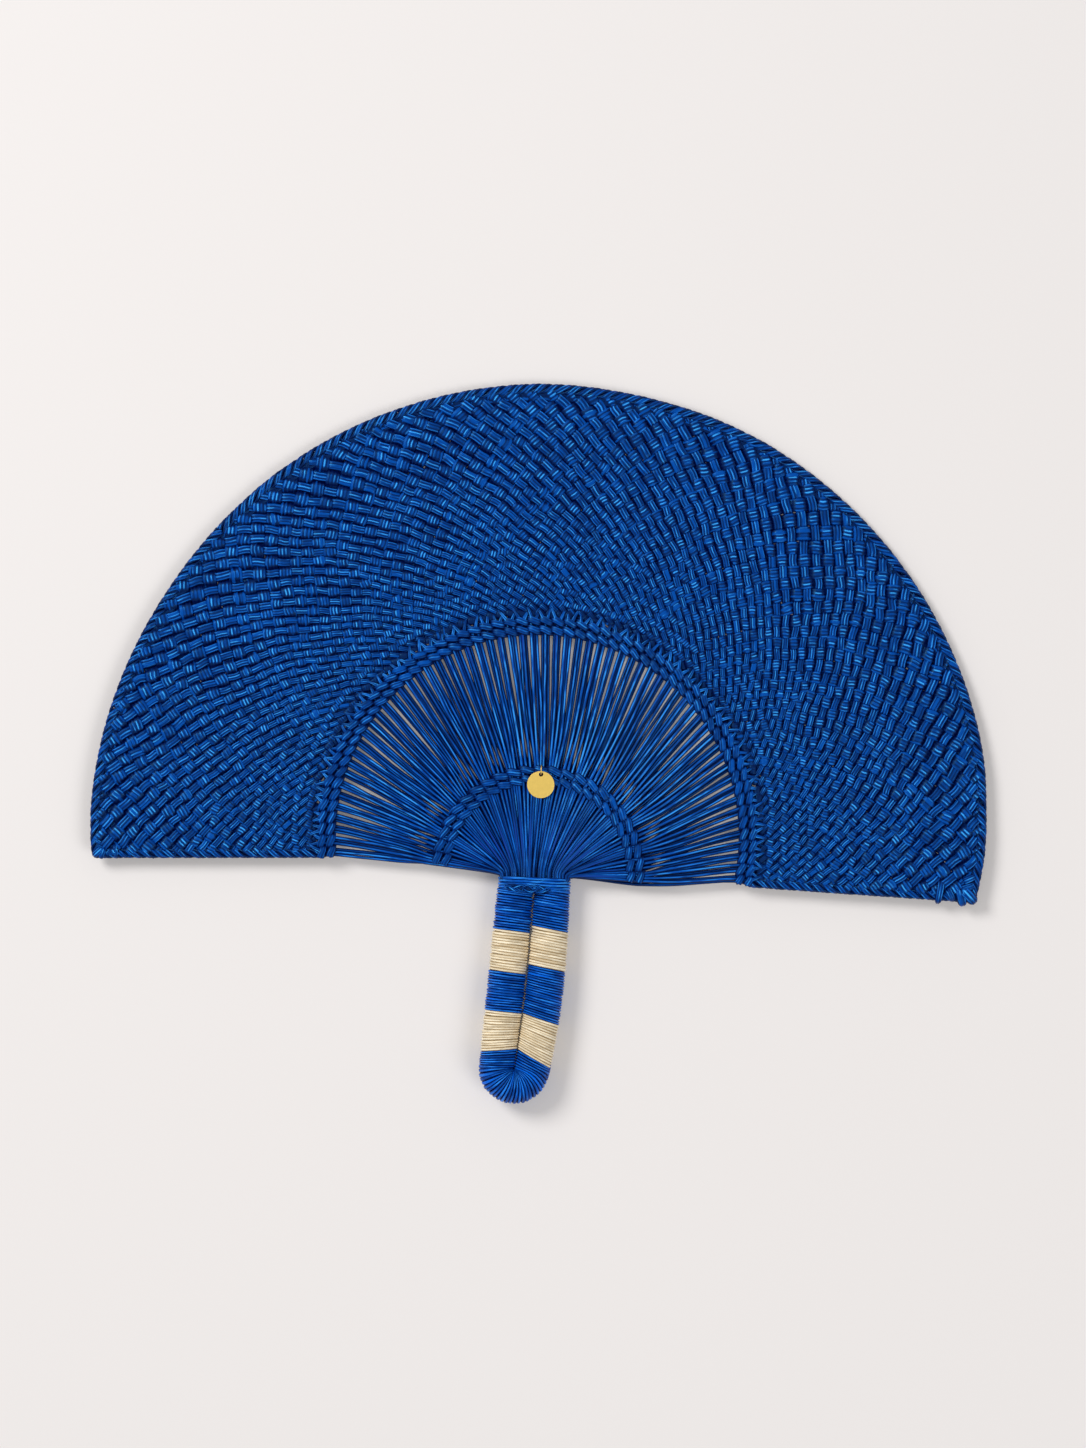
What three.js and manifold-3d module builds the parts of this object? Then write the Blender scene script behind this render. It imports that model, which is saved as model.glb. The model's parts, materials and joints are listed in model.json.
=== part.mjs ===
// Raffia hand fan: a half-round woven blade, twined bands over open spokes, and a looped wrapped handle.
// Units are millimetres. The fan is drawn in its own blade frame first: X to the right, Y towards the
// crown of the rim, Z out of the front face, with the origin at the centre of the rim circle. The whole
// fan then leans until its rim crown and its neck binding stand on the plane z = 0.

import * as THREE from 'three';
import { mergeVertices } from 'three/addons/utils/BufferGeometryUtils.js';
import Module from 'manifold-3d';

const wasm = await Module();
wasm.setup();

// Clearances

const seatGap = 0.32;
const strandGap = 0.55;
const restCut = 0.5;

// Rim, selvedges and corner knots

const rimRadius = 198;
const rimHalfWidth = 2.1;
const rimHalfThickness = 1.9;
const rimLay = 0.28;
const rimTurns = 36;
const leftCornerAngle = 185.6;
const rightCornerAngle = -5.6;
const selvedgeHalfWidth = 1.9;
const selvedgeHalfThickness = 1.8;
const selvedgeTurns = 10;
const knotRadius = 3.1;

// Outer twined band, over the inner edge of the weave

const outerBandRadius = 94.3;
const outerBandX = -2.0;
const outerBandY = -1.6;
const outerBandFirst = 187.4;
const outerBandLast = -9.3;
const outerSpokeCount = 48;

// Inner twined band, where the spokes gather into bundles

const innerBandRadius = 43.4;
const innerBandX = -0.9;
const innerBandY = -17.3;
const innerBandFirst = 175.6;
const innerBandLast = -0.9;
const bundleCount = 24;

// Weft strands of the two bands

const rowSpacing = 3.8;
const weftHalfWidth = 0.72;
const weftHalfThickness = 0.65;
const weftRoom = 0.42;
const crossShare = 0.25;
const foldShare = 0.42;

// Spokes and bundles

const bundleHalfWidth = 1.4;
const bundleHalfThickness = 1.0;
const spokeHalfWidth = 1.1;
const spokeHalfThickness = 0.8;

// Woven sheet

const strandsPerFamily = 25;
const weaveRidge = 1.45;
const weaveValley = 0.75;
const ridgeInset = 0.2;
const spareCells = 4;

// Neck: the binding round the bundle tails and the handle rope

const neckDrop = 20.4;
const bindingHeight = 8.2;
const bindingLoops = 3;
const bindingThickness = 1.9;
const tailDepth = 4.0;
const tailOverhang = 3.15;
const tailLayerGap = 1.2;
const gatherWidth = 14;
const gatherHeight = 11;
const gatherRise = 2.2;
const lashingLength = 17;
const lashingHalfWidth = 1.1;
const lashingHalfThickness = 0.8;
const lashingTurns = 4;
const lashingWaist = 0.75;

// Handle: a rope bent into a narrow loop, wrapped in blue and natural bands

const coreRadius = 5.6;
const legTopLeft = -10.3;
const legTopRight = 5.8;
const bendX = -5.6;
const bendDrop = 103.6;
const bendRadius = 9.4;
const wrapThickness = 1.5;
const wrapSteps = 12;
const wrapSides = 4;
const leftBandEnds = [23.7, 42.2, 60.2, 77.6];
const rightBandEnds = [24.0, 42.4, 65.5, 84.0];
const rightBandSlant = 0.72;
const bandLoops = 5;
const bendLoops = 11;

// Tag: a bare brass disc on a wire ring through one stitch of the inner band

const discRadius = 6.1;
const discThickness = 0.6;
const discEdge = 0.1;
const discTilt = 9;
const holeRadius = 0.95;
const holeOffset = 4.6;
const ringRadius = 2.2;
const ringWire = 0.28;
const ringCut = 4;
const tagBundle = 11;
const ringPinch = 0.6;
const ringSlack = 0.5;

// Facets

const edgeSides = 6;
const coreSides = 8;
const weftSides = 4;
const knotSides = 10;
const knotRows = 6;
const bendSteps = 10;
const ringSteps = 20;
const discSteps = 10;
const outlineSteps = 40;
const mergeTolerance = 1e-5;
const solveSteps = 40;

// Colours and finishes

const dyedRaffia = new THREE.MeshStandardMaterial({ color: 0x0b3d91, roughness: 0.5, metalness: 0 });
const naturalRaffia = new THREE.MeshStandardMaterial({ color: 0xdccfa6, roughness: 0.55, metalness: 0 });
const brass = new THREE.MeshStandardMaterial({ color: 0xd9b75a, roughness: 0.3, metalness: 1 });

const X = new THREE.Vector3(1, 0, 0);
const Z = new THREE.Vector3(0, 0, 1);

// Solids and meshes

function solidOf(geometry) {
  const bare = new THREE.BufferGeometry();
  bare.setAttribute('position', geometry.getAttribute('position').clone());
  if (geometry.index) bare.setIndex(geometry.index.clone());
  const merged = mergeVertices(bare, mergeTolerance);
  const mesh = new wasm.Mesh({
    numProp: 3,
    vertProperties: new Float32Array(merged.getAttribute('position').array),
    triVerts: new Uint32Array(merged.index.array),
  });
  return new wasm.Manifold(mesh);
}

function geometryOf(solid) {
  const mesh = solid.getMesh();
  const geometry = new THREE.BufferGeometry();
  geometry.setAttribute('position', new THREE.BufferAttribute(new Float32Array(mesh.vertProperties), 3));
  geometry.setIndex(new THREE.BufferAttribute(new Uint32Array(mesh.triVerts), 1));
  return geometry;
}

function indexedGeometry(points, triangles) {
  const geometry = new THREE.BufferGeometry();
  const positions = new Float32Array(points.flatMap((p) => [p.x, p.y, p.z]));
  geometry.setAttribute('position', new THREE.BufferAttribute(positions, 3));
  geometry.setIndex(triangles.flat());
  return geometry;
}

function signedVolume(points, triangles) {
  let volume = 0;
  for (const [a, b, c] of triangles) {
    volume += points[a].dot(points[b].clone().cross(points[c])) / 6;
  }
  return volume;
}

function outward(points, triangles) {
  if (signedVolume(points, triangles) < 0) triangles.forEach((triangle) => triangle.reverse());
  return indexedGeometry(points, triangles);
}

// A closed skin over a row of sections that have the same number of corners each.
function loft(rings) {
  const sides = rings[0].length;
  const points = rings.flat();
  const triangles = [];
  for (let i = 0; i + 1 < rings.length; i += 1) {
    for (let j = 0; j < sides; j += 1) {
      const a = i * sides + j;
      const b = i * sides + ((j + 1) % sides);
      triangles.push([a, b, a + sides]);
      triangles.push([b, b + sides, a + sides]);
    }
  }
  const last = (rings.length - 1) * sides;
  for (let j = 1; j + 1 < sides; j += 1) {
    triangles.push([0, j + 1, j]);
    triangles.push([last, last + j, last + j + 1]);
  }
  return outward(points, triangles);
}

// The corners of one section: a rectangle for 4 sides, otherwise a regular outline stretched to size.
function sectionCorners(center, across, up, halfWidth, halfHeight, sides) {
  const turn = sides === 4 ? 0.5 : 0;
  const reach = sides === 4 ? Math.SQRT2 : 1;
  const corners = [];
  for (let j = 0; j < sides; j += 1) {
    const angle = ((j + turn) / sides) * 2 * Math.PI;
    const point = center.clone();
    point.addScaledVector(across, Math.cos(angle) * reach * halfWidth);
    point.addScaledVector(up, Math.sin(angle) * reach * halfHeight);
    corners.push(point);
  }
  return corners;
}

// The sections of a strand along its stations: { at, up, halfWidth, halfHeight }.
function strandRings(stations, sides) {
  return stations.map((station, i) => {
    const tangent = new THREE.Vector3();
    if (i > 0) tangent.add(station.at.clone().sub(stations[i - 1].at).normalize());
    if (i + 1 < stations.length) tangent.add(stations[i + 1].at.clone().sub(station.at).normalize());
    tangent.normalize();
    const across = new THREE.Vector3().crossVectors(tangent, station.up).normalize();
    const up = new THREE.Vector3().crossVectors(across, tangent).normalize();
    return sectionCorners(station.at, across, up, station.halfWidth, station.halfHeight, sides);
  });
}

function polar(centerX, centerY, radius, degrees, z = 0) {
  const angle = THREE.MathUtils.degToRad(degrees);
  return new THREE.Vector3(centerX + radius * Math.cos(angle), centerY + radius * Math.sin(angle), z);
}

function innerBandPoint(radius, degrees, z = 0) {
  return polar(innerBandX, innerBandY, radius, degrees, z);
}

function outerBandPoint(radius, degrees, z = 0) {
  return polar(outerBandX, outerBandY, radius, degrees, z);
}

const fan = new THREE.Group();

function addPiece(name, geometry, material, parent = fan) {
  const mesh = new THREE.Mesh(geometry, material);
  mesh.name = name;
  parent.add(mesh);
  return mesh;
}

// Resting plane, in the blade frame: through the underside of the rim crown and of the neck binding

const wrapInner = (coreRadius + seatGap) / Math.cos(Math.PI / wrapSteps);
const bindingOuter = wrapInner + bindingThickness;
const bindingMiddleY = -neckDrop - bindingHeight / 2;
const rimUnder = rimHalfThickness + rimLay - restCut;
const bindingUnder = bindingOuter - restCut;
const restLean = Math.atan2(bindingUnder - rimUnder, rimRadius - bindingMiddleY);

function restHeight(y) {
  return -rimUnder - (rimRadius - y) * Math.tan(restLean);
}

// Cuts a solid flat where it stands on the resting plane.
function standFlat(geometry) {
  const size = 3 * rimRadius;
  const block = new THREE.BoxGeometry(size, size, size);
  block.translate(0, 0, -size / 2);
  block.rotateX(restLean);
  block.translate(0, rimRadius, restHeight(rimRadius));
  return geometryOf(solidOf(geometry).subtract(solidOf(block)));
}

// Rim and selvedges: turned edges whose lay shows as a row of slanting swells

function layedEdge(pointAt, turns, halfWidth, halfThickness) {
  const stations = [];
  const steps = turns * 2;
  for (let i = 0; i <= steps; i += 1) {
    const swell = i % 2 === 0 ? -rimLay : rimLay;
    stations.push({
      at: pointAt(i / steps),
      up: Z,
      halfWidth: halfWidth + swell,
      halfHeight: halfThickness + swell,
    });
  }
  return loft(strandRings(stations, edgeSides));
}

const weftSwing = weftHalfWidth + weftRoom / 2;
const weftReach = weftSwing + weftHalfWidth;

function selvedgeEnd(side) {
  const degrees = side < 0 ? outerBandFirst : outerBandLast;
  return outerBandPoint(outerBandRadius + rowSpacing / 2 + weftReach + 3 * seatGap, degrees);
}

function cornerPoint(side) {
  return polar(0, 0, rimRadius, side < 0 ? leftCornerAngle : rightCornerAngle);
}

const knotBall = new THREE.SphereGeometry(knotRadius, knotSides, knotRows);
const knotReach = knotRadius + seatGap;
const knotTurn = THREE.MathUtils.radToDeg(knotReach / rimRadius);

addPiece('rim_braid', standFlat(layedEdge((t) => {
  const start = rightCornerAngle + knotTurn;
  const end = leftCornerAngle - knotTurn;
  return polar(0, 0, rimRadius, start + (end - start) * t);
}, rimTurns, rimHalfWidth, rimHalfThickness)), dyedRaffia);

for (const [side, word] of [[-1, 'left'], [1, 'right']]) {
  const corner = cornerPoint(side);
  const inner = selvedgeEnd(side);
  const along = inner.clone().sub(corner).normalize();
  const outer = corner.clone().addScaledVector(along, knotReach);
  const edge = layedEdge((t) => outer.clone().lerp(inner, t), selvedgeTurns,
    selvedgeHalfWidth, selvedgeHalfThickness);
  addPiece(`selvedge_${word}`, edge, dyedRaffia);
  const knot = addPiece(`corner_knot_${word}`, knotBall, dyedRaffia);
  knot.position.copy(corner);
}

// Woven blade: two mirror families of strands run out along 45 degree spirals. Cell (i, j) is where
// strand i of one family crosses strand j of the other; the one on top shows as a ridge along its run.

const weaveStep = THREE.MathUtils.degToRad(leftCornerAngle - rightCornerAngle) / strandsPerFamily;
const sheetInner = outerBandRadius + rowSpacing / 2 + weftReach + 2 * seatGap;
const sheetOuter = rimRadius - rimHalfWidth - rimLay - seatGap;
const innerLog = Math.log(sheetInner / sheetOuter);

function weavePoint(a, b, z) {
  const angle = THREE.MathUtils.degToRad(rightCornerAngle) + ((a + b) * weaveStep) / 2;
  const radius = sheetOuter * Math.exp(((b - a) * weaveStep) / 2);
  return new THREE.Vector3(radius * Math.cos(angle), radius * Math.sin(angle), z);
}

function woveSheet() {
  const points = [];
  const known = new Map();
  const triangles = [];
  const edges = new Map();
  const pointIndex = (a, b, z) => {
    const key = `${a.toFixed(2)} ${b.toFixed(2)} ${z}`;
    if (!known.has(key)) {
      known.set(key, points.length);
      points.push(weavePoint(a, b, z));
    }
    return known.get(key);
  };
  const addFace = (corners, face) => {
    const z = (corner) => face * (corner[2] ? weaveRidge : weaveValley);
    const index = corners.map((corner) => pointIndex(corner[0], corner[1], z(corner)));
    if (face < 0) index.reverse();
    triangles.push(index);
    if (face < 0) return;
    for (let k = 0; k < 3; k += 1) {
      const from = corners[k];
      const to = corners[(k + 1) % 3];
      const back = `${to.slice(0, 2)} ${from.slice(0, 2)}`;
      if (edges.has(back)) edges.delete(back);
      else edges.set(`${from.slice(0, 2)} ${to.slice(0, 2)}`, [from, to]);
    }
  };
  const deepest = Math.ceil((-2 * innerLog) / weaveStep) + spareCells;
  for (let row = -deepest; row <= spareCells; row += 1) {
    for (let column = -spareCells; column <= 2 * strandsPerFamily + spareCells; column += 1) {
      if ((row + column) % 2 !== 0) continue;
      const i = (column - row) / 2;
      const j = (column + row) / 2;
      addCell(i, j, row % 2 === 0, addFace);
    }
  }
  for (const [from, to] of edges.values()) {
    const a = pointIndex(from[0], from[1], weaveValley);
    const b = pointIndex(to[0], to[1], weaveValley);
    const c = pointIndex(from[0], from[1], -weaveValley);
    const d = pointIndex(to[0], to[1], -weaveValley);
    triangles.push([b, a, c], [b, c, d]);
  }
  return outward(points, triangles);
}

// One crossing: four low corners and a ridge between them, along a on the front and along b behind.
function addCell(i, j, alongA, addFace) {
  const low = [[i, j, 0], [i + 1, j, 0], [i + 1, j + 1, 0], [i, j + 1, 0]];
  for (const face of [1, -1]) {
    const ridgeAlongA = face > 0 ? alongA : !alongA;
    const from = ridgeInset;
    const to = 1 - ridgeInset;
    const start = ridgeAlongA ? [i + from, j + 0.5, 1] : [i + 0.5, j + from, 1];
    const end = ridgeAlongA ? [i + to, j + 0.5, 1] : [i + 0.5, j + to, 1];
    const [p, q, r, s] = low;
    if (ridgeAlongA) {
      addFace([p, q, end], face);
      addFace([p, end, start], face);
      addFace([q, r, end], face);
      addFace([r, s, start], face);
      addFace([r, start, end], face);
      addFace([s, p, start], face);
    } else {
      addFace([p, q, start], face);
      addFace([q, r, end], face);
      addFace([q, end, start], face);
      addFace([r, s, end], face);
      addFace([s, p, start], face);
      addFace([s, start, end], face);
    }
  }
}

function lineMeetsCircle(point, direction, centerX, centerY, radius) {
  const toCenter = new THREE.Vector2(point.x - centerX, point.y - centerY);
  const along = toCenter.dot(direction);
  const rest = toCenter.lengthSq() - radius * radius;
  const distance = -along + Math.sqrt(along * along - rest);
  return new THREE.Vector2(point.x + direction.x * distance, point.y + direction.y * distance);
}

// The outline of the sheet, between the rim, both selvedges and the outer band.
function sheetOutline() {
  const outline = new THREE.Shape();
  const ends = {};
  for (const side of [-1, 1]) {
    const inner = selvedgeEnd(side);
    const corner = cornerPoint(side);
    const direction = new THREE.Vector2(corner.x - inner.x, corner.y - inner.y).normalize();
    const lift = selvedgeHalfWidth + rimLay + seatGap;
    const normal = new THREE.Vector2(-direction.y * side, direction.x * side);
    const start = new THREE.Vector2(inner.x + normal.x * lift, inner.y + normal.y * lift);
    const near = lineMeetsCircle(start, direction, outerBandX, outerBandY, sheetInner);
    const far = lineMeetsCircle(start, direction, 0, 0, sheetOuter);
    ends[side] = {
      far: Math.atan2(far.y, far.x),
      near: Math.atan2(near.y - outerBandY, near.x - outerBandX),
    };
  }
  const turn = 2 * Math.PI;
  outline.absarc(0, 0, sheetOuter, ends[1].far, (ends[-1].far + turn) % turn, false);
  outline.absarc(outerBandX, outerBandY, sheetInner, (ends[-1].near + turn) % turn, ends[1].near, true);
  outline.closePath();
  return outline;
}

const prism = new THREE.ExtrudeGeometry(sheetOutline(), {
  depth: 4 * weaveRidge,
  bevelEnabled: false,
  curveSegments: outlineSteps,
});
prism.translate(0, 0, -2 * weaveRidge);
addPiece('woven_blade', geometryOf(solidOf(woveSheet()).intersect(solidOf(prism))), dyedRaffia);

// Spoke bundles: each runs from its tail in the neck, through the inner band, and opens into spokes
// that pass through the outer band and stop at the edge of the woven sheet.

const innerPitch = (innerBandFirst - innerBandLast) / (bundleCount - 1);
const outerPitch = (outerBandFirst - outerBandLast) / (outerSpokeCount - 1);
const spokeEnd = sheetInner - seatGap;
const innerRow = innerBandRadius - rowSpacing / 2;
const outerRow = innerBandRadius + rowSpacing / 2;
const neckX = (legTopLeft + legTopRight) / 2;
const tailSpread = (legTopRight - legTopLeft) / 2 + tailOverhang;
const tailHalfWidth = (2 * tailSpread) / (bundleCount - 1) - strandGap / 2;
const tailRoom = Math.sqrt(coreRadius ** 2 - (tailOverhang + tailHalfWidth) ** 2);
const tailHalfThickness = (tailRoom - tailLayerGap / 2) / 2;
const tailLayer = tailHalfThickness + tailLayerGap / 2;

function bundleStations(index) {
  const degrees = innerBandFirst - index * innerPitch;
  const share = index / (bundleCount - 1);
  const layer = index % 2 === 0 ? tailLayer : -tailLayer;
  const slotX = neckX - tailSpread + 2 * tailSpread * share;
  const fanAngle = Math.PI * (1 - (index + 0.5) / bundleCount);
  const gatherX = neckX + gatherWidth * Math.cos(fanAngle);
  const gatherY = -neckDrop + gatherRise + gatherHeight * Math.sin(fanAngle);
  const full = { up: Z, halfWidth: bundleHalfWidth, halfHeight: bundleHalfThickness };
  const tail = { up: Z, halfWidth: tailHalfWidth, halfHeight: tailHalfThickness };
  const stations = [
    { at: new THREE.Vector3(slotX, -neckDrop - tailDepth, layer), ...tail },
    { at: new THREE.Vector3(slotX, -neckDrop - tailDepth / 4, layer), ...tail },
    { at: new THREE.Vector3(gatherX, gatherY, layer), ...tail },
    { at: innerBandPoint(innerRow, degrees), ...full },
  ];
  if (index === tagBundle) {
    const pinched = { up: Z, halfWidth: bundleHalfWidth, halfHeight: bundleHalfThickness * (1 - ringPinch) };
    stations.push({ at: innerBandPoint(outerRow, degrees, -bundleHalfThickness * ringPinch), ...pinched });
  }
  stations.push({ at: innerBandPoint(outerRow + rowSpacing, degrees), ...full });
  return stations;
}

// The run of one spoke from the mouth of its bundle, aimed so that it passes the outer band midway.
function spokeStations(root, spoke) {
  const degrees = outerBandFirst - spoke * outerPitch;
  const bandAt = outerBandPoint(outerBandRadius, degrees);
  const run = bandAt.clone().sub(root).normalize();
  const radial = outerBandPoint(1, degrees).sub(outerBandPoint(0, degrees));
  const slant = Math.abs(radial.clone().cross(run).z);
  const reach = (spokeEnd - outerBandRadius) / run.dot(radial) - spokeHalfWidth * slant;
  const size = { up: Z, halfHeight: spokeHalfThickness };
  return [
    { at: root.clone().addScaledVector(run, -bundleHalfWidth), halfWidth: bundleHalfWidth / 2, ...size },
    { at: bandAt.addScaledVector(run, reach), halfWidth: spokeHalfWidth, ...size },
  ];
}

for (let index = 0; index < bundleCount; index += 1) {
  const stations = bundleStations(index);
  const root = stations[stations.length - 1].at;
  const first = Math.round((index * outerSpokeCount) / bundleCount);
  const end = Math.round(((index + 1) * outerSpokeCount) / bundleCount);
  stations.push(spokeStations(root, first)[1]);
  let solid = solidOf(loft(strandRings(stations, edgeSides)));
  for (let spoke = first + 1; spoke < end; spoke += 1) {
    solid = solid.add(solidOf(loft(strandRings(spokeStations(root, spoke), edgeSides))));
  }
  const number = String(index + 1).padStart(2, '0');
  addPiece(`spoke_bundle_${number}`, geometryOf(solid), dyedRaffia);
}

// Twined rows: one weft folded round the first warp, its two halves crossing between all the warps.

function twinedRow(pointAt, warpCount, warpHalfThickness) {
  const lift = warpHalfThickness + seatGap + weftHalfThickness;
  const half = (startSign, warp) => {
    const phase = Math.PI * warp + (startSign > 0 ? 0 : Math.PI);
    const z = Math.sign(Math.cos(phase)) * lift;
    const radial = Math.sign(Math.sin(phase)) * weftSwing;
    return { warp, z, radial };
  };
  const walk = [];
  const last = warpCount - 1 + crossShare;
  for (let warp = last; warp >= -crossShare; warp -= 0.5) walk.push(half(1, warp));
  walk.push({ warp: -foldShare, z: lift / 2, radial: -weftSwing / 2 });
  walk.push({ warp: -foldShare, z: -lift / 2, radial: weftSwing / 2 });
  for (let warp = -crossShare; warp <= last; warp += 0.5) walk.push(half(-1, warp));
  const stations = walk.map(({ warp, z, radial }) => {
    const { at, away } = pointAt(warp, radial, z);
    return { at, up: away, halfWidth: weftHalfThickness, halfHeight: weftHalfWidth };
  });
  return loft(strandRings(stations, weftSides));
}

function bandRow(pointOf, first, pitch, radius, warpCount, warpHalfThickness) {
  return twinedRow((warp, radial, z) => {
    const degrees = first - warp * pitch;
    const angle = THREE.MathUtils.degToRad(degrees);
    return {
      at: pointOf(radius + radial, degrees, z),
      away: new THREE.Vector3(Math.cos(angle), Math.sin(angle), 0),
    };
  }, warpCount, warpHalfThickness);
}

for (const [place, offset] of [['upper', rowSpacing / 2], ['lower', -rowSpacing / 2]]) {
  const inner = bandRow(innerBandPoint, innerBandFirst, innerPitch, innerBandRadius + offset,
    bundleCount, bundleHalfThickness);
  addPiece(`inner_twining_${place}`, inner, dyedRaffia);
  const outer = bandRow(outerBandPoint, outerBandFirst, outerPitch, outerBandRadius + offset,
    outerSpokeCount, spokeHalfThickness);
  addPiece(`outer_twining_${place}`, outer, dyedRaffia);
}

// Handle rope: down the left leg, round the bend and up the right leg

function tangentPoint(topX, side) {
  const toCenter = new THREE.Vector2(bendX - topX, neckDrop - bendDrop);
  const distance = toCenter.length();
  const spread = Math.acos(bendRadius / distance);
  const back = Math.atan2(-toCenter.y, -toCenter.x);
  const angle = back - side * spread;
  return { angle, x: bendX + bendRadius * Math.cos(angle), y: -bendDrop + bendRadius * Math.sin(angle) };
}

class HandleRope {
  constructor() {
    this.left = tangentPoint(legTopLeft, -1);
    this.right = tangentPoint(legTopRight, 1);
    this.sweep = 2 * Math.PI - (this.left.angle - this.right.angle);
    this.leftLength = Math.hypot(this.left.x - legTopLeft, this.left.y + neckDrop);
    this.rightLength = Math.hypot(this.right.x - legTopRight, this.right.y + neckDrop);
    this.bendLength = this.sweep * bendRadius;
    this.total = this.leftLength + this.bendLength + this.rightLength;
  }

  // The centre of the rope and the direction away from the inside of the loop, at a run from the neck.
  at(run) {
    const leftOut = new THREE.Vector3(Math.cos(this.left.angle), Math.sin(this.left.angle), 0);
    const rightOut = new THREE.Vector3(Math.cos(this.right.angle), Math.sin(this.right.angle), 0);
    if (run < this.leftLength) {
      const start = new THREE.Vector3(legTopLeft, -neckDrop, 0);
      const end = new THREE.Vector3(this.left.x, this.left.y, 0);
      return { at: start.lerp(end, run / this.leftLength), out: leftOut };
    }
    if (run > this.leftLength + this.bendLength) {
      const start = new THREE.Vector3(this.right.x, this.right.y, 0);
      const end = new THREE.Vector3(legTopRight, -neckDrop, 0);
      const share = (run - this.leftLength - this.bendLength) / this.rightLength;
      return { at: start.lerp(end, share), out: rightOut };
    }
    const angle = this.left.angle + (run - this.leftLength) / bendRadius;
    const out = new THREE.Vector3(Math.cos(angle), Math.sin(angle), 0);
    return { at: new THREE.Vector3(bendX, -bendDrop, 0).addScaledVector(out, bendRadius), out };
  }
}

const rope = new HandleRope();
const coreStart = tailDepth + seatGap;

function coreGeometry() {
  const runs = [coreStart, rope.leftLength / 2];
  for (let i = 0; i <= bendSteps; i += 1) {
    runs.push(rope.leftLength + (rope.bendLength * i) / bendSteps);
  }
  runs.push(rope.total - rope.rightLength / 2, rope.total - coreStart);
  const rings = strandRings(runs.map((run) => ({
    at: rope.at(run).at,
    up: Z,
    halfWidth: coreRadius,
    halfHeight: coreRadius,
  })), coreSides);
  return loft(rings);
}

addPiece('handle_core', coreGeometry(), naturalRaffia);

// Windings: one unbroken flat strand each. A strand is as wide as the room to its next turn allows, so
// it splays on the outside of the bend and draws in on the inside.

const wrapMiddle = wrapInner + wrapThickness / 2;

// The run along the rope at a share of the way between two runs, counted on the skin of the wrap.
function skinRun(from, to, share, side) {
  const reach = (run) => {
    const inBend = Math.min(Math.max(run - rope.leftLength, 0), rope.bendLength);
    return run + side * wrapMiddle * (inBend / bendRadius);
  };
  const target = reach(from) + (reach(to) - reach(from)) * share;
  let low = from - rope.total;
  let high = to + rope.total;
  for (let i = 0; i < solveSteps; i += 1) {
    const middle = (low + high) / 2;
    if (reach(middle) < target) low = middle;
    else high = middle;
  }
  return (low + high) / 2;
}

function wrapPoint(band, turn, angle, radius) {
  const share = turn / band.loops;
  const outer = skinRun(band.start[0], band.end[0], share, 1);
  const inner = skinRun(band.start[1], band.end[1], share, -1);
  const lean = (1 + Math.cos(angle)) / 2;
  const spot = rope.at(outer * lean + inner * (1 - lean));
  const normal = spot.out.clone().multiplyScalar(Math.cos(angle)).addScaledVector(Z, Math.sin(angle));
  return { at: spot.at.clone().addScaledVector(normal, radius), up: normal };
}

// The distance across the strand to the nearer of the turns before and after.
function roomBetweenTurns(band, turn, radius) {
  const pointAt = (shift, along) => {
    const angle = 2 * Math.PI * (turn + along) - Math.PI / 2;
    return wrapPoint(band, turn + shift + along, angle, radius).at;
  };
  const step = 1 / wrapSteps;
  const run = pointAt(0, step / 2).sub(pointAt(0, -step / 2)).normalize();
  const before = pointAt(-1, 0).sub(pointAt(0, 0)).cross(run).length();
  const after = pointAt(1, 0).sub(pointAt(0, 0)).cross(run).length();
  return Math.min(before, after);
}

function wrapRings(band) {
  const stations = [];
  const steps = band.loops * wrapSteps;
  const endTrim = strandGap / (2 * Math.PI * wrapMiddle);
  for (let i = 0; i <= steps; i += 1) {
    const turn = Math.min(Math.max(i / wrapSteps, endTrim), band.loops - endTrim);
    const angle = 2 * Math.PI * turn - Math.PI / 2;
    const here = wrapPoint(band, turn, angle, wrapMiddle);
    const room = Math.min(...[wrapInner, wrapInner + wrapThickness].map((radius) => {
      return roomBetweenTurns(band, turn, radius);
    }));
    stations.push({
      at: here.at,
      up: here.up,
      halfWidth: (room - strandGap) / 2,
      halfHeight: wrapThickness / 2,
    });
  }
  return strandRings(stations, wrapSides);
}

// The least distance between a winding and its own next turn, on points along its edges.
function leastGap(rings, steps) {
  const samples = [];
  for (let i = 0; i + 1 < rings.length; i += 1) {
    for (let j = 0; j < rings[i].length; j += 1) {
      for (const share of [0, 0.25, 0.5, 0.75]) {
        samples.push({ ring: i + share, at: rings[i][j].clone().lerp(rings[i + 1][j], share) });
      }
    }
  }
  let least = Infinity;
  for (const a of samples) {
    for (const b of samples) {
      if (b.ring - a.ring > steps / 2) least = Math.min(least, a.at.distanceTo(b.at));
    }
  }
  return least;
}

const gaps = {};

function addWinding(name, rings, steps, material, finish = (geometry) => geometry) {
  gaps[name] = leastGap(rings, steps);
  addPiece(name, finish(loft(rings)), material);
}

const bandNames = ['blue_upper', 'natural_upper', 'blue_lower', 'natural_lower'];

// Where the first strand starts, so that its upper edge clears the binding.
function topEdge(firstEnd) {
  const clear = bindingHeight + seatGap - strandGap / 2 + firstEnd / (2 * bandLoops);
  return clear / (1 + 1 / (2 * bandLoops));
}

const leftRuns = [topEdge(leftBandEnds[0]), ...leftBandEnds].map((run) => [run, run]);
const rightRuns = [topEdge(rightBandEnds[0]), ...rightBandEnds].map((run, i) => {
  return [rope.total - run, rope.total - run + rightBandSlant * Math.max(i - 1, 0) ** 2];
});

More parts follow.
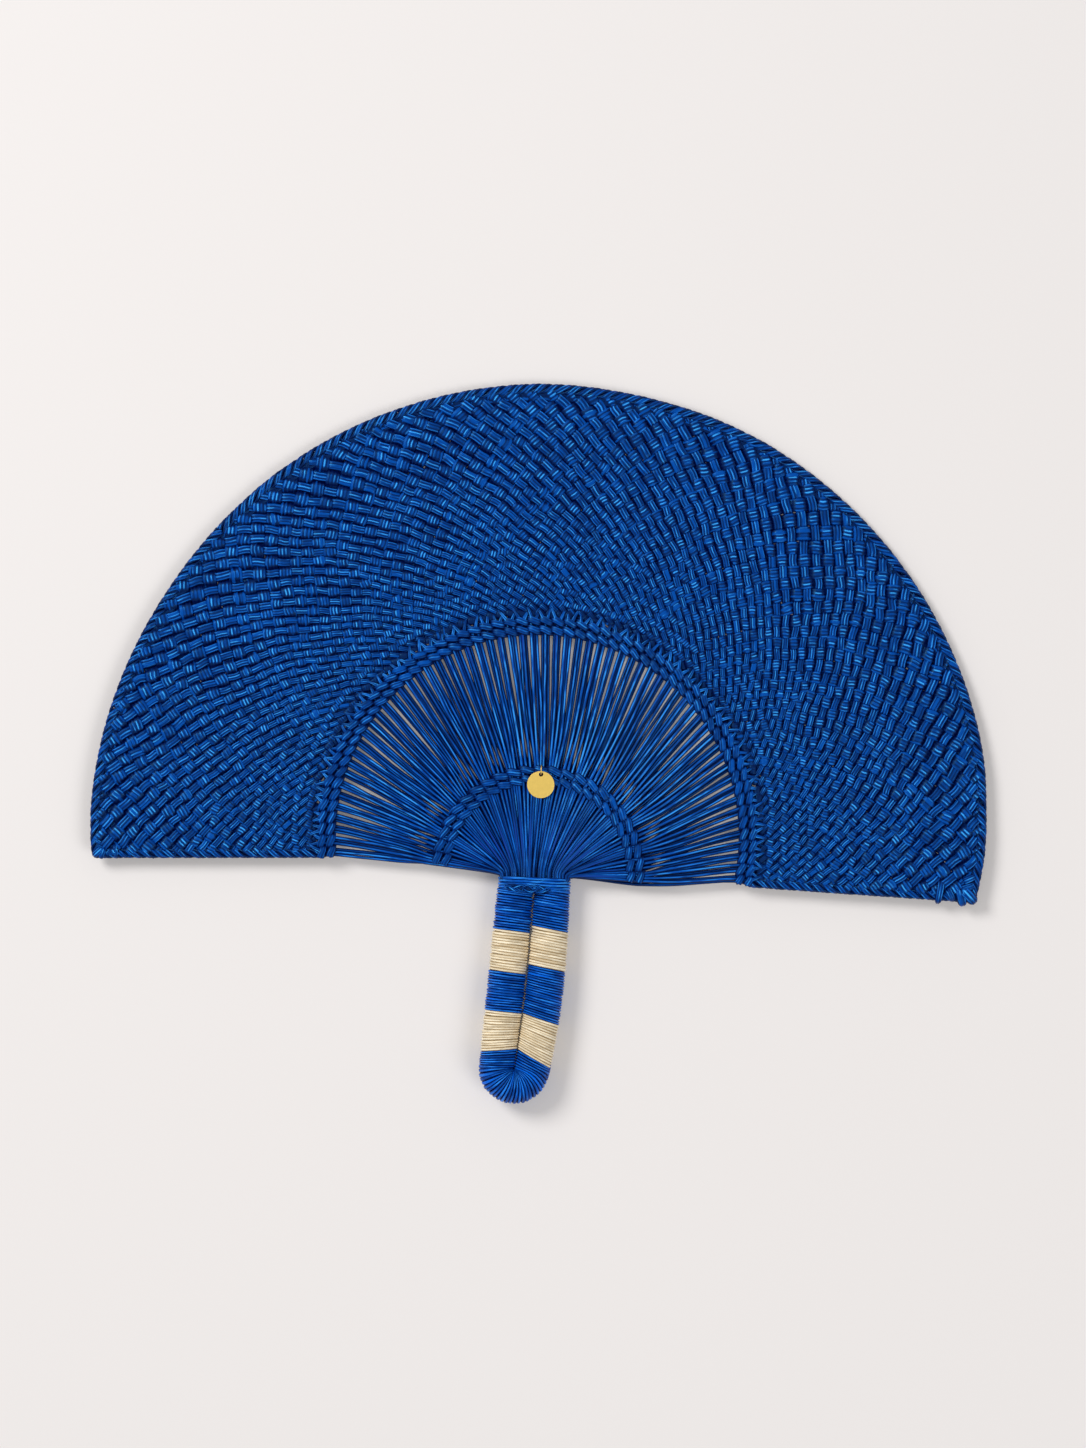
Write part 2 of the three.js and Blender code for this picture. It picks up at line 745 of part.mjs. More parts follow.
bandNames.forEach((word, i) => {
  const material = word.startsWith('blue') ? dyedRaffia : naturalRaffia;
  const left = { start: leftRuns[i], end: leftRuns[i + 1], loops: bandLoops };
  addWinding(`wrap_left_${word}`, wrapRings(left), wrapSteps, material);
  const right = { start: rightRuns[i + 1], end: rightRuns[i], loops: bandLoops };
  addWinding(`wrap_right_${word}`, wrapRings(right), wrapSteps, material);
});

const bendBand = { start: leftRuns[4], end: rightRuns[4], loops: bendLoops };
addWinding('wrap_bend_blue', wrapRings(bendBand), wrapSteps, dyedRaffia);

// Neck binding: turns round both legs and the bundle tails

function bindingRings() {
  const stations = [];
  const arcSteps = wrapSteps / 2;
  const steps = wrapSteps + 2;
  const pitch = (bindingHeight + strandGap) / (bindingLoops + 1);
  const middle = wrapInner + bindingThickness / 2;
  for (let i = 0; i <= bindingLoops * steps; i += 1) {
    const step = i % steps;
    const onLeft = step > arcSteps;
    const arc = onLeft ? step - arcSteps - 1 : step;
    const angle = -Math.PI / 2 + (Math.PI * arc) / arcSteps + (onLeft ? Math.PI : 0);
    const out = new THREE.Vector3(Math.cos(angle), 0, Math.sin(angle));
    const y = -neckDrop - pitch / 2 + strandGap / 2 - (pitch * i) / steps;
    const at = new THREE.Vector3(onLeft ? legTopLeft : legTopRight, y, 0).addScaledVector(out, middle);
    stations.push({ at, up: out, halfWidth: (pitch - strandGap) / 2, halfHeight: bindingThickness / 2 });
  }
  return strandRings(stations, wrapSides);
}

addWinding('neck_binding', bindingRings(), wrapSteps + 2, dyedRaffia, standFlat);

// Lashing: the twisted end of the binding, laid across its front at the lower edge

function lashingGeometry() {
  const stations = [];
  const steps = lashingTurns * 2;
  const y = -neckDrop - bindingHeight + 2 * lashingHalfWidth;
  const z = bindingOuter + seatGap + lashingHalfThickness;
  for (let i = 0; i <= steps; i += 1) {
    const swell = i % 2 === 0 ? lashingWaist : 1;
    stations.push({
      at: new THREE.Vector3(neckX - lashingLength / 2 + (lashingLength * i) / steps, y, z),
      up: Z,
      halfWidth: lashingHalfWidth * swell,
      halfHeight: lashingHalfThickness * swell,
    });
  }
  return loft(strandRings(stations, edgeSides));
}

addPiece('neck_lashing', lashingGeometry(), dyedRaffia);

// Tag: the ring passes under the front strand of one stitch; the disc lies on the band below it

const tagDegrees = innerBandFirst - tagBundle * innerPitch;
const tagSeat = new THREE.Group();
tagSeat.position.copy(innerBandPoint(outerRow, tagDegrees));
tagSeat.rotation.z = THREE.MathUtils.degToRad(tagDegrees - 90);
fan.add(tagSeat);

const weftUnder = bundleHalfThickness + seatGap;
const weftTop = weftUnder + 2 * weftHalfThickness;
const ringCenterZ = weftUnder - ringSlack - ringWire + ringRadius;

function ringGeometry() {
  const stations = [];
  for (let i = 0; i <= ringSteps; i += 1) {
    const degrees = ringCut / 2 + ((360 - ringCut) * i) / ringSteps;
    const angle = THREE.MathUtils.degToRad(degrees);
    const out = new THREE.Vector3(0, Math.cos(angle), Math.sin(angle));
    stations.push({
      at: out.clone().multiplyScalar(ringRadius),
      up: X,
      halfWidth: ringWire,
      halfHeight: ringWire,
    });
  }
  return loft(strandRings(stations, edgeSides));
}

const ring = addPiece('jump_ring', ringGeometry(), brass, tagSeat);
ring.position.z = ringCenterZ;

// The disc hangs on the wire at its hole and leans over the lower row of the band: where the wire
// passes the hole follows from both.
const tilt = THREE.MathUtils.degToRad(discTilt);
const rowEdge = rowSpacing + weftReach;
const restOnRow = weftTop + seatGap + discThickness / (2 * Math.cos(tilt));
let holeZ = restOnRow;
let holeY = ringRadius;
for (let i = 0; i < solveSteps; i += 1) {
  holeZ = restOnRow + (rowEdge - holeY) * Math.tan(tilt);
  holeY = Math.sqrt(ringRadius ** 2 - (holeZ - ringCenterZ) ** 2);
}

function discGeometry() {
  const shape = new THREE.Shape();
  shape.absarc(0, -holeOffset, discRadius - discEdge, 0, 2 * Math.PI, false);
  const hole = new THREE.Path();
  hole.absarc(0, 0, holeRadius + discEdge, 0, 2 * Math.PI, true);
  shape.holes.push(hole);
  const geometry = new THREE.ExtrudeGeometry(shape, {
    depth: discThickness - 2 * discEdge,
    bevelThickness: discEdge,
    bevelSize: discEdge,
    bevelSegments: 1,
    curveSegments: discSteps,
  });
  geometry.translate(0, 0, discEdge - discThickness / 2);
  return geometryOf(solidOf(geometry));
}

const disc = addPiece('tag_disc', discGeometry(), brass, tagSeat);
disc.position.set(0, -holeY, holeZ);
disc.rotation.x = tilt;

console.log('least gap of each winding to itself, mm:');
for (const [name, gap] of Object.entries(gaps)) console.log(`  ${name} ${gap.toFixed(2)}`);

// Place: the leaning fan stands on z = 0 with its outline centred on the origin

fan.rotation.x = -restLean;
fan.updateMatrixWorld(true);
const box = new THREE.Box3().setFromObject(fan, true);
const raffiaFan = new THREE.Group();
fan.position.set(-(box.min.x + box.max.x) / 2, -(box.min.y + box.max.y) / 2, -box.min.z);
raffiaFan.add(fan);

export default raffiaFan;
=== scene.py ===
"""Raffia hand fan: woven half-round blade, open spokes, twined bands and a looped wrapped handle."""

import json
import math
import random
from collections import namedtuple

import bmesh
import bpy
import numpy as np
from bpy.props import FloatProperty, FloatVectorProperty, IntProperty, PointerProperty
from mathutils import Matrix, Vector, noise


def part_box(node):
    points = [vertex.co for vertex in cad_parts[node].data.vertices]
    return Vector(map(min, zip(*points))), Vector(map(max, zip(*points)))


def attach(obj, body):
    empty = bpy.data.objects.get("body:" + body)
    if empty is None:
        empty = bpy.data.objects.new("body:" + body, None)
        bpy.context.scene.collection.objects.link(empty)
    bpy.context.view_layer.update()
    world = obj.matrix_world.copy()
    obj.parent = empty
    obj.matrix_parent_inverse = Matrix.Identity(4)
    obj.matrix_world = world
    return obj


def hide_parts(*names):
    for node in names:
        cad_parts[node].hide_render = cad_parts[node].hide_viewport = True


bl_info = {
    "name": "Raffia Hand Fan",
    "version": (1, 0, 0),
    "blender": (4, 5, 0),
    "location": "View3D > Sidebar > Raffia Fan",
    "description": "Weaves, twines and wraps a half-round raffia hand fan around its packed frame",
    "category": "Add Mesh",
}

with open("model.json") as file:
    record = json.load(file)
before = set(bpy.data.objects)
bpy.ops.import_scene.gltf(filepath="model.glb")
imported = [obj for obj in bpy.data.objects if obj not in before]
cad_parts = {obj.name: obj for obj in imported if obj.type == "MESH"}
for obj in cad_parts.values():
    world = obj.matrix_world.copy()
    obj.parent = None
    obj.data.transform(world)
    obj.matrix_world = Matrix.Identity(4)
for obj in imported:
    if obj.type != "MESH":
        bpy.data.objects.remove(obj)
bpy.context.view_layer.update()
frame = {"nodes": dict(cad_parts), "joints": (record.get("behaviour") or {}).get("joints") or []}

MM = 0.001
FAN_BODY = "fan"
JOINTS = {joint["name"]: joint for joint in frame["joints"]}


# Settings


class RaffiaBladeSettings(bpy.types.PropertyGroup):
    rim_radius: FloatProperty(
        name="Rim radius",
        description="Radius of the middle of the rim",
        default=198 * MM,
        unit="LENGTH",
    )
    rim_thickness: FloatProperty(
        name="Rim thickness",
        description="Width of the turned rim",
        default=4.4 * MM,
        unit="LENGTH",
    )
    selvedge_thickness: FloatProperty(
        name="Selvedge thickness",
        description="Width of the two straight lower edges",
        default=4.0 * MM,
        unit="LENGTH",
    )
    corner_angle: FloatProperty(
        name="Corner angle",
        description="How far each lower corner lies below the rim's centre",
        default=math.radians(5.6),
        subtype="ANGLE",
    )
    stake_count: IntProperty(
        name="Stakes",
        description="Straight strands of the weave round the blade",
        default=80,
    )
    weft_count: IntProperty(
        name="Wefts",
        description="Padded strands of the weave that cross the stakes",
        default=75,
    )
    relief: FloatProperty(
        name="Relief",
        description="Rise of a strand over its crossing, as a share of half its width",
        default=0.28,
    )
    wander: FloatProperty(
        name="Wander",
        description="How far a crossing strays from its even place, in crossings",
        default=0.2,
    )
    seed: IntProperty(
        name="Seed",
        description="Seed of the hand-made unevenness",
        default=7,
    )


class RaffiaBandSettings(bpy.types.PropertyGroup):
    spoke_count: IntProperty(
        name="Spokes",
        description="Spokes that pass the outer twined band",
        default=62,
    )
    fibres_per_spoke: IntProperty(
        name="Fibres in a spoke",
        description="Raffia fibres that lie side by side in each spoke",
        default=3,
    )
    bundle_count: IntProperty(
        name="Bundles",
        description="Bundles of spokes that the inner twined band gathers",
        default=24,
    )
    outer_radius: FloatProperty(
        name="Outer band radius",
        description="Radius of the middle of the outer twined band",
        default=94.3 * MM,
        unit="LENGTH",
    )
    inner_radius: FloatProperty(
        name="Inner band radius",
        description="Radius of the middle of the inner twined band",
        default=43.4 * MM,
        unit="LENGTH",
    )
    row_spacing: FloatProperty(
        name="Row spacing",
        description="Distance between the two rows of a band",
        default=3.7 * MM,
        unit="LENGTH",
    )
    weft_width: FloatProperty(
        name="Weft width",
        description="Width of a twined weft strand",
        default=3.0 * MM,
        unit="LENGTH",
    )


class RaffiaHandleSettings(bpy.types.PropertyGroup):
    left_top: FloatProperty(
        name="Left leg",
        description="Sideways place of the left leg at the neck",
        default=-10.3 * MM,
        unit="LENGTH",
    )
    right_top: FloatProperty(
        name="Right leg",
        description="Sideways place of the right leg at the neck",
        default=5.8 * MM,
        unit="LENGTH",
    )
    neck_drop: FloatProperty(
        name="Neck drop",
        description="Distance of the neck below the rim's centre",
        default=20.4 * MM,
        unit="LENGTH",
    )
    binding_drop: FloatProperty(
        name="Binding drop",
        description="Distance of the binding's top below the rim's centre",
        default=19.2 * MM,
        unit="LENGTH",
    )
    bend_side: FloatProperty(
        name="Bend place",
        description="Sideways place of the middle of the bend",
        default=-6.9 * MM,
        unit="LENGTH",
    )
    bend_drop: FloatProperty(
        name="Bend drop",
        description="Distance of the middle of the bend below the rim's centre",
        default=105.3 * MM,
        unit="LENGTH",
    )
    bend_radius: FloatProperty(
        name="Bend radius",
        description="Radius of the rope's centre line in the bend",
        default=7.7 * MM,
        unit="LENGTH",
    )
    wrap_thickness: FloatProperty(
        name="Wrap thickness",
        description="Thickness of the wrapping strand",
        default=1.5 * MM,
        unit="LENGTH",
    )
    strand_pitch: FloatProperty(
        name="Wrap pitch",
        description="Distance from one turn of a wrap to the next",
        default=1.2 * MM,
        unit="LENGTH",
    )
    wrap_radius: FloatProperty(
        name="Wrapped radius",
        description="Radius of the rope over its wraps",
        default=8.15 * MM,
        unit="LENGTH",
    )


class RaffiaColourSettings(bpy.types.PropertyGroup):
    dye: FloatVectorProperty(
        name="Dye",
        description="Blue of the dyed raffia",
        subtype="COLOR",
        size=3,
        default=(0.0004, 0.1, 0.58),
    )
    # Painted shade: this dark blue is painted into the grooves between the fibres for their shade.
    painted_dye_shade: FloatVectorProperty(
        name="Deep dye",
        description="Blue between the fibres, where the dye has pooled",
        subtype="COLOR",
        size=3,
        default=(0.0001, 0.004, 0.06),
    )
    # Painted highlight: this lighter blue is painted along the crests of the fibres.
    painted_dye_highlight: FloatVectorProperty(
        name="Bright dye",
        description="Lighter blue along the crests of the fibres",
        subtype="COLOR",
        size=3,
        default=(0.045, 0.36, 0.9),
    )
    dye_violet: FloatVectorProperty(
        name="Violet dye",
        description="Violet blue of the fibres that took the dye least evenly",
        subtype="COLOR",
        size=3,
        default=(0.005, 0.035, 0.28),
    )
    # The undyed raffia's own cream, which the material also paints along the fibre crests as their
    # highlight.
    straw: FloatVectorProperty(
        name="Straw",
        description="Cream of the undyed raffia",
        subtype="COLOR",
        size=3,
        default=(0.93, 0.84, 0.65),
    )
    # Painted shade: this brown is painted into the grooves of the undyed raffia; a tenth of it also tones
    # the body.
    painted_straw_shade: FloatVectorProperty(
        name="Deep straw",
        description="Brown of the grooves in the undyed raffia",
        subtype="COLOR",
        size=3,
        default=(0.55, 0.42, 0.24),
    )
    brass: FloatVectorProperty(
        name="Brass",
        description="Colour of the tag and its ring",
        subtype="COLOR",
        size=3,
        default=(0.65, 0.465, 0.12),
    )


class RaffiaStageSettings(bpy.types.PropertyGroup):
    photo_scale: FloatProperty(
        name="Size of a pixel",
        description="Real width of one pixel of the photograph at the blade",
        default=0.44623 * MM,
        unit="LENGTH",
    )
    camera_height: FloatProperty(
        name="Camera height",
        description="Distance of the camera above the blade",
        default=2.4,
        unit="LENGTH",
    )
    camera_turn: FloatProperty(
        name="Camera turn",
        description="How far the fan lies turned in the picture",
        default=math.radians(3.0),
        subtype="ANGLE",
    )
    floor_colour: FloatVectorProperty(
        name="Floor colour",
        description="Colour of the plain surface under the fan",
        subtype="COLOR",
        size=3,
        default=(0.80, 0.773, 0.765),
    )


class RaffiaFanSettings(bpy.types.PropertyGroup):
    blade: PointerProperty(type=RaffiaBladeSettings)
    bands: PointerProperty(type=RaffiaBandSettings)
    handle: PointerProperty(type=RaffiaHandleSettings)
    colours: PointerProperty(type=RaffiaColourSettings)
    stage: PointerProperty(type=RaffiaStageSettings)


# Places: the fan is drawn flat around its rim's centre, and then leans as it lies on its back

LEAN = math.radians(1.506)
OUTER_BAND_CENTRE = Vector((-2.0, -1.6, 0)) * MM
OUTER_BAND_ENDS = (math.radians(187.4), math.radians(-9.3))
INNER_BAND_CENTRE = Vector((-0.9, -17.3, 0)) * MM
INNER_BAND_ENDS = (math.radians(175.6), math.radians(-0.9))
BINDING_HEIGHT = 7.8 * MM

# How far the rim strays from round, in degrees of the rim and millimetres outwards
RIM_STRAY = (
    (-5.6, -3.9), (-3, -3.0), (0, -2.0), (3, -1.5), (6, -1.2), (9, -0.5), (12, 0.1),
    (16, 0.5), (45, 0.7), (54, 0.9), (63, 1.1), (70, 1.0), (77, 0.5), (84, 0.5),
    (93, 1.1), (102, 0.8), (111, 0.5), (123, 0.3), (130, 0.1), (138, -0.3), (150, -0.5),
    (157, 0.0), (163, 0.5), (168, 1.0), (173, 1.4), (180, 1.9), (185.6, 1.4),
)


def middle_of(node):
    low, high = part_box(node)
    return (low + high) / 2


def blade_to_row():
    """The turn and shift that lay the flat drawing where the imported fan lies."""
    blade = bpy.context.scene.raffia_fan.blade
    lean = Matrix.Rotation(-LEAN, 4, "X")
    knots = (middle_of("corner_knot_left") + middle_of("corner_knot_right")) / 2
    drop = blade.rim_radius * math.sin(blade.corner_angle)
    return Matrix.Translation(knots - lean @ Vector((0, -drop, 0))) @ lean


def polar(centre, radius, angle, height=0.0):
    return centre + Vector((radius * math.cos(angle), radius * math.sin(angle), height))


def rim_radius_at(blade, angle):
    """Radius of the middle of the rim, with its stray from round."""
    if angle < -math.pi / 2:
        angle += 2 * math.pi
    degrees, strays = zip(*RIM_STRAY)
    return blade.rim_radius + float(np.interp(math.degrees(angle), degrees, strays)) * MM


def share_between(ends, share):
    return ends[0] + (ends[1] - ends[0]) * share


def band_angle(ends, number, count):
    """Angle of one of the spokes or bundles that a band crosses."""
    return share_between(ends, number / (count - 1))


def smooth_step(low, high, value):
    share = min(max((value - low) / (high - low), 0), 1)
    return share * share * (3 - 2 * share)


# Strands: a Curve swept with a strand's outline, made a mesh that knows where its fibres run and how much
# painted light each corner gets

# Each station also carries the share of painted light there: below 1 the strand is painted darker, for its
# shade.
Station = namedtuple("Station", "place size exposed tilt", defaults=(1.0, 0.0))

# The numbers of the strands in a piece lie this far apart, and start again after the cycle
STRAND_NUMBER_STEP = 7.31
STRAND_NUMBER_CYCLE = 97


def strand_outline(half_width, half_thickness, fibres, groove=0.34):
    """Corners of a flat strand, rounded over each of its fibres on both faces."""
    across = max(fibres * 2, 4)
    upper = []
    for i in range(across + 1):
        x = 1 - 2 * i / across
        crown = math.sqrt(max(1 - x ** (4 if fibres > 1 else 2), 0))
        if i % 2 == 0 and fibres > 1:
            crown *= 1 - groove
        upper.append((half_width * x, half_thickness * crown))
    return upper + [(x, -y) for x, y in reversed(upper[1:-1])]


def outline_object(name, corners):
    data = bpy.data.curves.new(name, "CURVE")
    data.dimensions = "2D"
    spline = data.splines.new("POLY")
    spline.points.add(len(corners) - 1)
    for point, (x, y) in zip(spline.points, corners):
        point.co = (x, y, 0, 1)
    spline.use_cyclic_u = True
    outline = bpy.data.objects.new(name, data)
    bpy.context.scene.collection.objects.link(outline)
    return outline


def swept_mesh(name, runs, corners, on_edge=False, side_light=0.0, falloff=1.0):
    """Sweeps the outline along every run of stations, and marks each corner's place among the fibres.

    The attribute fibre holds the millimetres across and along the strand and a number for the strand.
    A second attribute holds the painted light of each corner, from 0 in a groove to 1 on a fibre, times the
    painted light of its station; the material paints it as shade in the grooves and as a highlight on the
    crests: side_light at the strand's own sides, and narrower along the crests the higher the falloff."""
    outline = outline_object(name + "_outline", [(y, x) for x, y in corners] if on_edge else corners)
    data = bpy.data.curves.new(name, "CURVE")
    data.dimensions = "3D"
    data.twist_mode = "Z_UP"
    data.bevel_mode = "OBJECT"
    data.bevel_object = outline
    for run in runs:
        spline = data.splines.new("POLY")
        spline.points.add(len(run) - 1)
        spline.points.foreach_set("co", [c for station in run for c in (*station.place, 1.0)])
        spline.points.foreach_set("radius", [station.size for station in run])
        spline.points.foreach_set("tilt", [station.tilt for station in run])
    sweep = bpy.data.objects.new(name, data)
    bpy.context.scene.collection.objects.link(sweep)
    graph = bpy.context.evaluated_depsgraph_get()
    mesh = bpy.data.meshes.new_from_object(sweep.evaluated_get(graph))
    bpy.data.objects.remove(sweep)
    bpy.data.objects.remove(outline)
    mark_fibres(mesh, runs, corners, side_light, falloff)
    close_ends(mesh)
    return mesh


def mark_fibres(mesh, runs, corners, side_light, falloff):
    across = np.array([x for x, y in corners]) / MM
    thick = np.array([abs(y) for x, y in corners])
    light = np.where(thick < 1e-9, side_light, (thick / thick.max()) ** falloff)
    exposed = np.array([station.exposed for run in runs for station in run])
    painted_light = np.outer(exposed, light).astype(np.float32)
    rows = []
    for number, run in enumerate(runs):
        places = np.array([station.place for station in run])
        sizes = np.array([station.size for station in run])
        steps = np.linalg.norm(np.diff(places, axis=0), axis=1)
        along = np.concatenate(([0], np.cumsum(steps))) / MM
        block = np.empty((len(run), len(corners), 3), np.float32)
        block[:, :, 0] = sizes[:, None] * across[None, :]
        block[:, :, 1] = along[:, None]
        block[:, :, 2] = (number * STRAND_NUMBER_STEP) % STRAND_NUMBER_CYCLE
        rows.append(block.reshape(-1, 3))
    marks = np.concatenate(rows)
    if len(marks) != len(mesh.vertices):
        raise RuntimeError(f"{mesh.name}: {len(marks)} fibre marks for {len(mesh.vertices)} vertices")
    layer = mesh.attributes.new("fibre", "FLOAT_VECTOR", "POINT")
    layer.data.foreach_set("vector", marks.ravel())
    layer = mesh.attributes.new("painted_light", "FLOAT", "POINT")
    layer.data.foreach_set("value", painted_light.ravel())


def close_ends(mesh):
    shape = bmesh.new()
    shape.from_mesh(mesh)
    rims = [edge for edge in shape.edges if edge.is_boundary]
    bmesh.ops.holes_fill(shape, edges=rims, sides=0)
    bmesh.ops.recalc_face_normals(shape, faces=shape.faces)
    shape.to_mesh(mesh)
    shape.free()


def reshape(mesh, change):
    """Moves every vertex by change, which takes and gives an array of places."""
    places = np.empty(len(mesh.vertices) * 3)
    mesh.vertices.foreach_get("co", places)
    mesh.vertices.foreach_set("co", change(places.reshape(-1, 3)).ravel())
    mesh.update()


def smooth_run(points, steps):
    """Places along a smooth line through the points, with that many steps between two of them."""
    padded = [points[0] * 2 - points[1], *points, points[-1] * 2 - points[-2]]
    places = []
    for before, start, end, after in zip(padded, padded[1:], padded[2:], padded[3:]):
        for i in range(steps):
            t = i / steps
            places.append(
                0.5
                * (
                    2 * start
                    + (end - before) * t
                    + (2 * before - 5 * start + 4 * end - after) * t**2
                    + (3 * start - before - 3 * end + after) * t**3
                )
            )
    places.append(points[-1].copy())
    return places


def add_piece(name, mesh, material, nodes, body=FAN_BODY):
    """Puts a finished mesh in the scene for the named nodes."""
    mesh.name = name
    mesh.materials.clear()
    mesh.materials.append(material)
    mesh.polygons.foreach_set("use_smooth", [True] * len(mesh.polygons))
    piece = bpy.data.objects.new(name, mesh)
    bpy.context.scene.collection.objects.link(piece)
    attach(piece, body)
    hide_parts(*nodes)
    return piece


def add_raffia(name, mesh, nodes, finish=None):
    mesh.transform(blade_to_row())
    return add_piece(name, mesh, (finish or dyed_raffia)(), nodes)


# Materials

# Tint and strength of the gloss of each kind of raffia
DYED_SHINE = ((0.14, 0.6, 1.0), 0.3)
WRAP_SHINE = ((0.2, 0.6, 1.0), 0.26)
NATURAL_SHINE = ((1.0, 0.95, 0.85), 0.1)
GROOVE_ROUGHNESS = 0.14
FIBRE_RELIEF = 0.35 * MM


def new_group(name, inputs, outputs):
    group = bpy.data.node_groups.new(name, "ShaderNodeTree")
    for label, kind, value in inputs:
        socket = group.interface.new_socket(label, in_out="INPUT", socket_type=kind)
        if value is not None:
            socket.default_value = value
    for label, kind in outputs:
        group.interface.new_socket(label, in_out="OUTPUT", socket_type=kind)
    return group, group.nodes.new("NodeGroupInput"), group.nodes.new("NodeGroupOutput")


def math_node(tree, operation, *values):
    """The outcome of an operation on plain numbers and sockets."""
    node = tree.nodes.new("ShaderNodeMath")
    node.operation = operation
    for socket, value in zip(node.inputs, values):
        if isinstance(value, float):
            socket.default_value = value
        else:
            tree.links.new(value, socket)
    return node.outputs[0]


def soft_step(tree, socket, low, high, start=0.0, end=1.0):
    """Goes smoothly from start to end while the socket goes from low to high."""
    node = tree.nodes.new("ShaderNodeMapRange")
    node.interpolation_type = "SMOOTHSTEP"
    for label, value in (("From Min", low), ("From Max", high), ("To Min", start), ("To Max", end)):
        node.inputs[label].default_value = value
    tree.links.new(socket, node.inputs["Value"])
    return node.outputs["Result"]


def mix_colour(tree, factor, first, second):
    """A colour between two; each is a plain colour or a socket."""
    mix = tree.nodes.new("ShaderNodeMix")
    mix.data_type = "RGBA"
    sockets = [socket for socket in mix.inputs if socket.type == "RGBA"]
    tree.links.new(factor, mix.inputs["Factor"])
    for socket, colour in zip(sockets, (first, second)):
        if isinstance(colour, bpy.types.NodeSocket):
            tree.links.new(colour, socket)
        else:
            socket.default_value = (*colour, 1)
    return next(socket for socket in mix.outputs if socket.type == "RGBA")


def object_noise(tree, scale, detail=2.0):
    """Noise over the piece's own coordinates."""
    place = tree.nodes.new("ShaderNodeTexCoord")
    texture = tree.nodes.new("ShaderNodeTexNoise")
    texture.inputs["Scale"].default_value = scale
    texture.inputs["Detail"].default_value = detail
    tree.links.new(place.outputs["Object"], texture.inputs["Vector"])
    return texture.outputs["Fac"]


def add_bump(tree, shader, height, strength, distance):
    bump = tree.nodes.new("ShaderNodeBump")
    bump.inputs["Strength"].default_value = strength
    bump.inputs["Distance"].default_value = distance
    tree.links.new(height, bump.inputs["Height"])
    tree.links.new(bump.outputs["Normal"], shader.inputs["Normal"])


def new_material(name):
    """A material, its node tree and its shader."""
    material = bpy.data.materials.new(name)
    material.use_nodes = True
    return material, material.node_tree, material.node_tree.nodes["Principled BSDF"]


def fibre_group():
    """Streaks along the fibres, a tone for each strand, and the height of the grooves between fibres."""
    found = bpy.data.node_groups.get("RaffiaFibres")
    if found:
        return found
    group, given, result = new_group(
        "RaffiaFibres",
        [
            ("Fibre", "NodeSocketVector", None),
            ("Fibres per mm", "NodeSocketFloat", 1.2),
            ("Blotch", "NodeSocketFloat", 0.12),
        ],
        [(label, "NodeSocketFloat") for label in ("Streak", "Tone", "Odd Fibre", "Height")],
    )
    parts = group.nodes.new("ShaderNodeSeparateXYZ")
    group.links.new(given.outputs["Fibre"], parts.inputs[0])
    across, along, strand = parts.outputs

    def times(socket, factor):
        return math_node(group, "MULTIPLY", socket, factor)

    def field(x, y, detail):
        place = group.nodes.new("ShaderNodeCombineXYZ")
        for socket, value in zip(place.inputs, (x, y, times(strand, 1.7))):
            group.links.new(value, socket)
        texture = group.nodes.new("ShaderNodeTexNoise")
        texture.inputs["Scale"].default_value = 1.0
        texture.inputs["Detail"].default_value = detail
        group.links.new(place.outputs[0], texture.inputs["Vector"])
        return texture.outputs["Fac"]

    fine = times(across, given.outputs["Fibres per mm"])
    streak = field(fine, times(along, 0.1), 3.0)
    hair = field(times(fine, 2.3), times(along, 0.3), 2.0)
    tone = field(times(across, 0.1), times(along, given.outputs["Blotch"]), 2.0)
    odd = field(times(fine, 0.6), times(along, 0.02), 0.0)
    for label, value, low, high in (
        ("Streak", streak, 0.36, 0.62),
        ("Tone", tone, 0.3, 0.7),
        ("Odd Fibre", odd, 0.64, 0.74),
    ):
        group.links.new(soft_step(group, value, low, high), result.inputs[label])
    blend = group.nodes.new("ShaderNodeMix")
    blend.inputs["Factor"].default_value = 0.3
    group.links.new(streak, blend.inputs["A"])
    group.links.new(hair, blend.inputs["B"])
    group.links.new(blend.outputs["Result"], result.inputs["Height"])
    return group


def read_attribute(tree, name, output):
    node = tree.nodes.new("ShaderNodeAttribute")
    node.attribute_name = name
    return node.outputs[output]


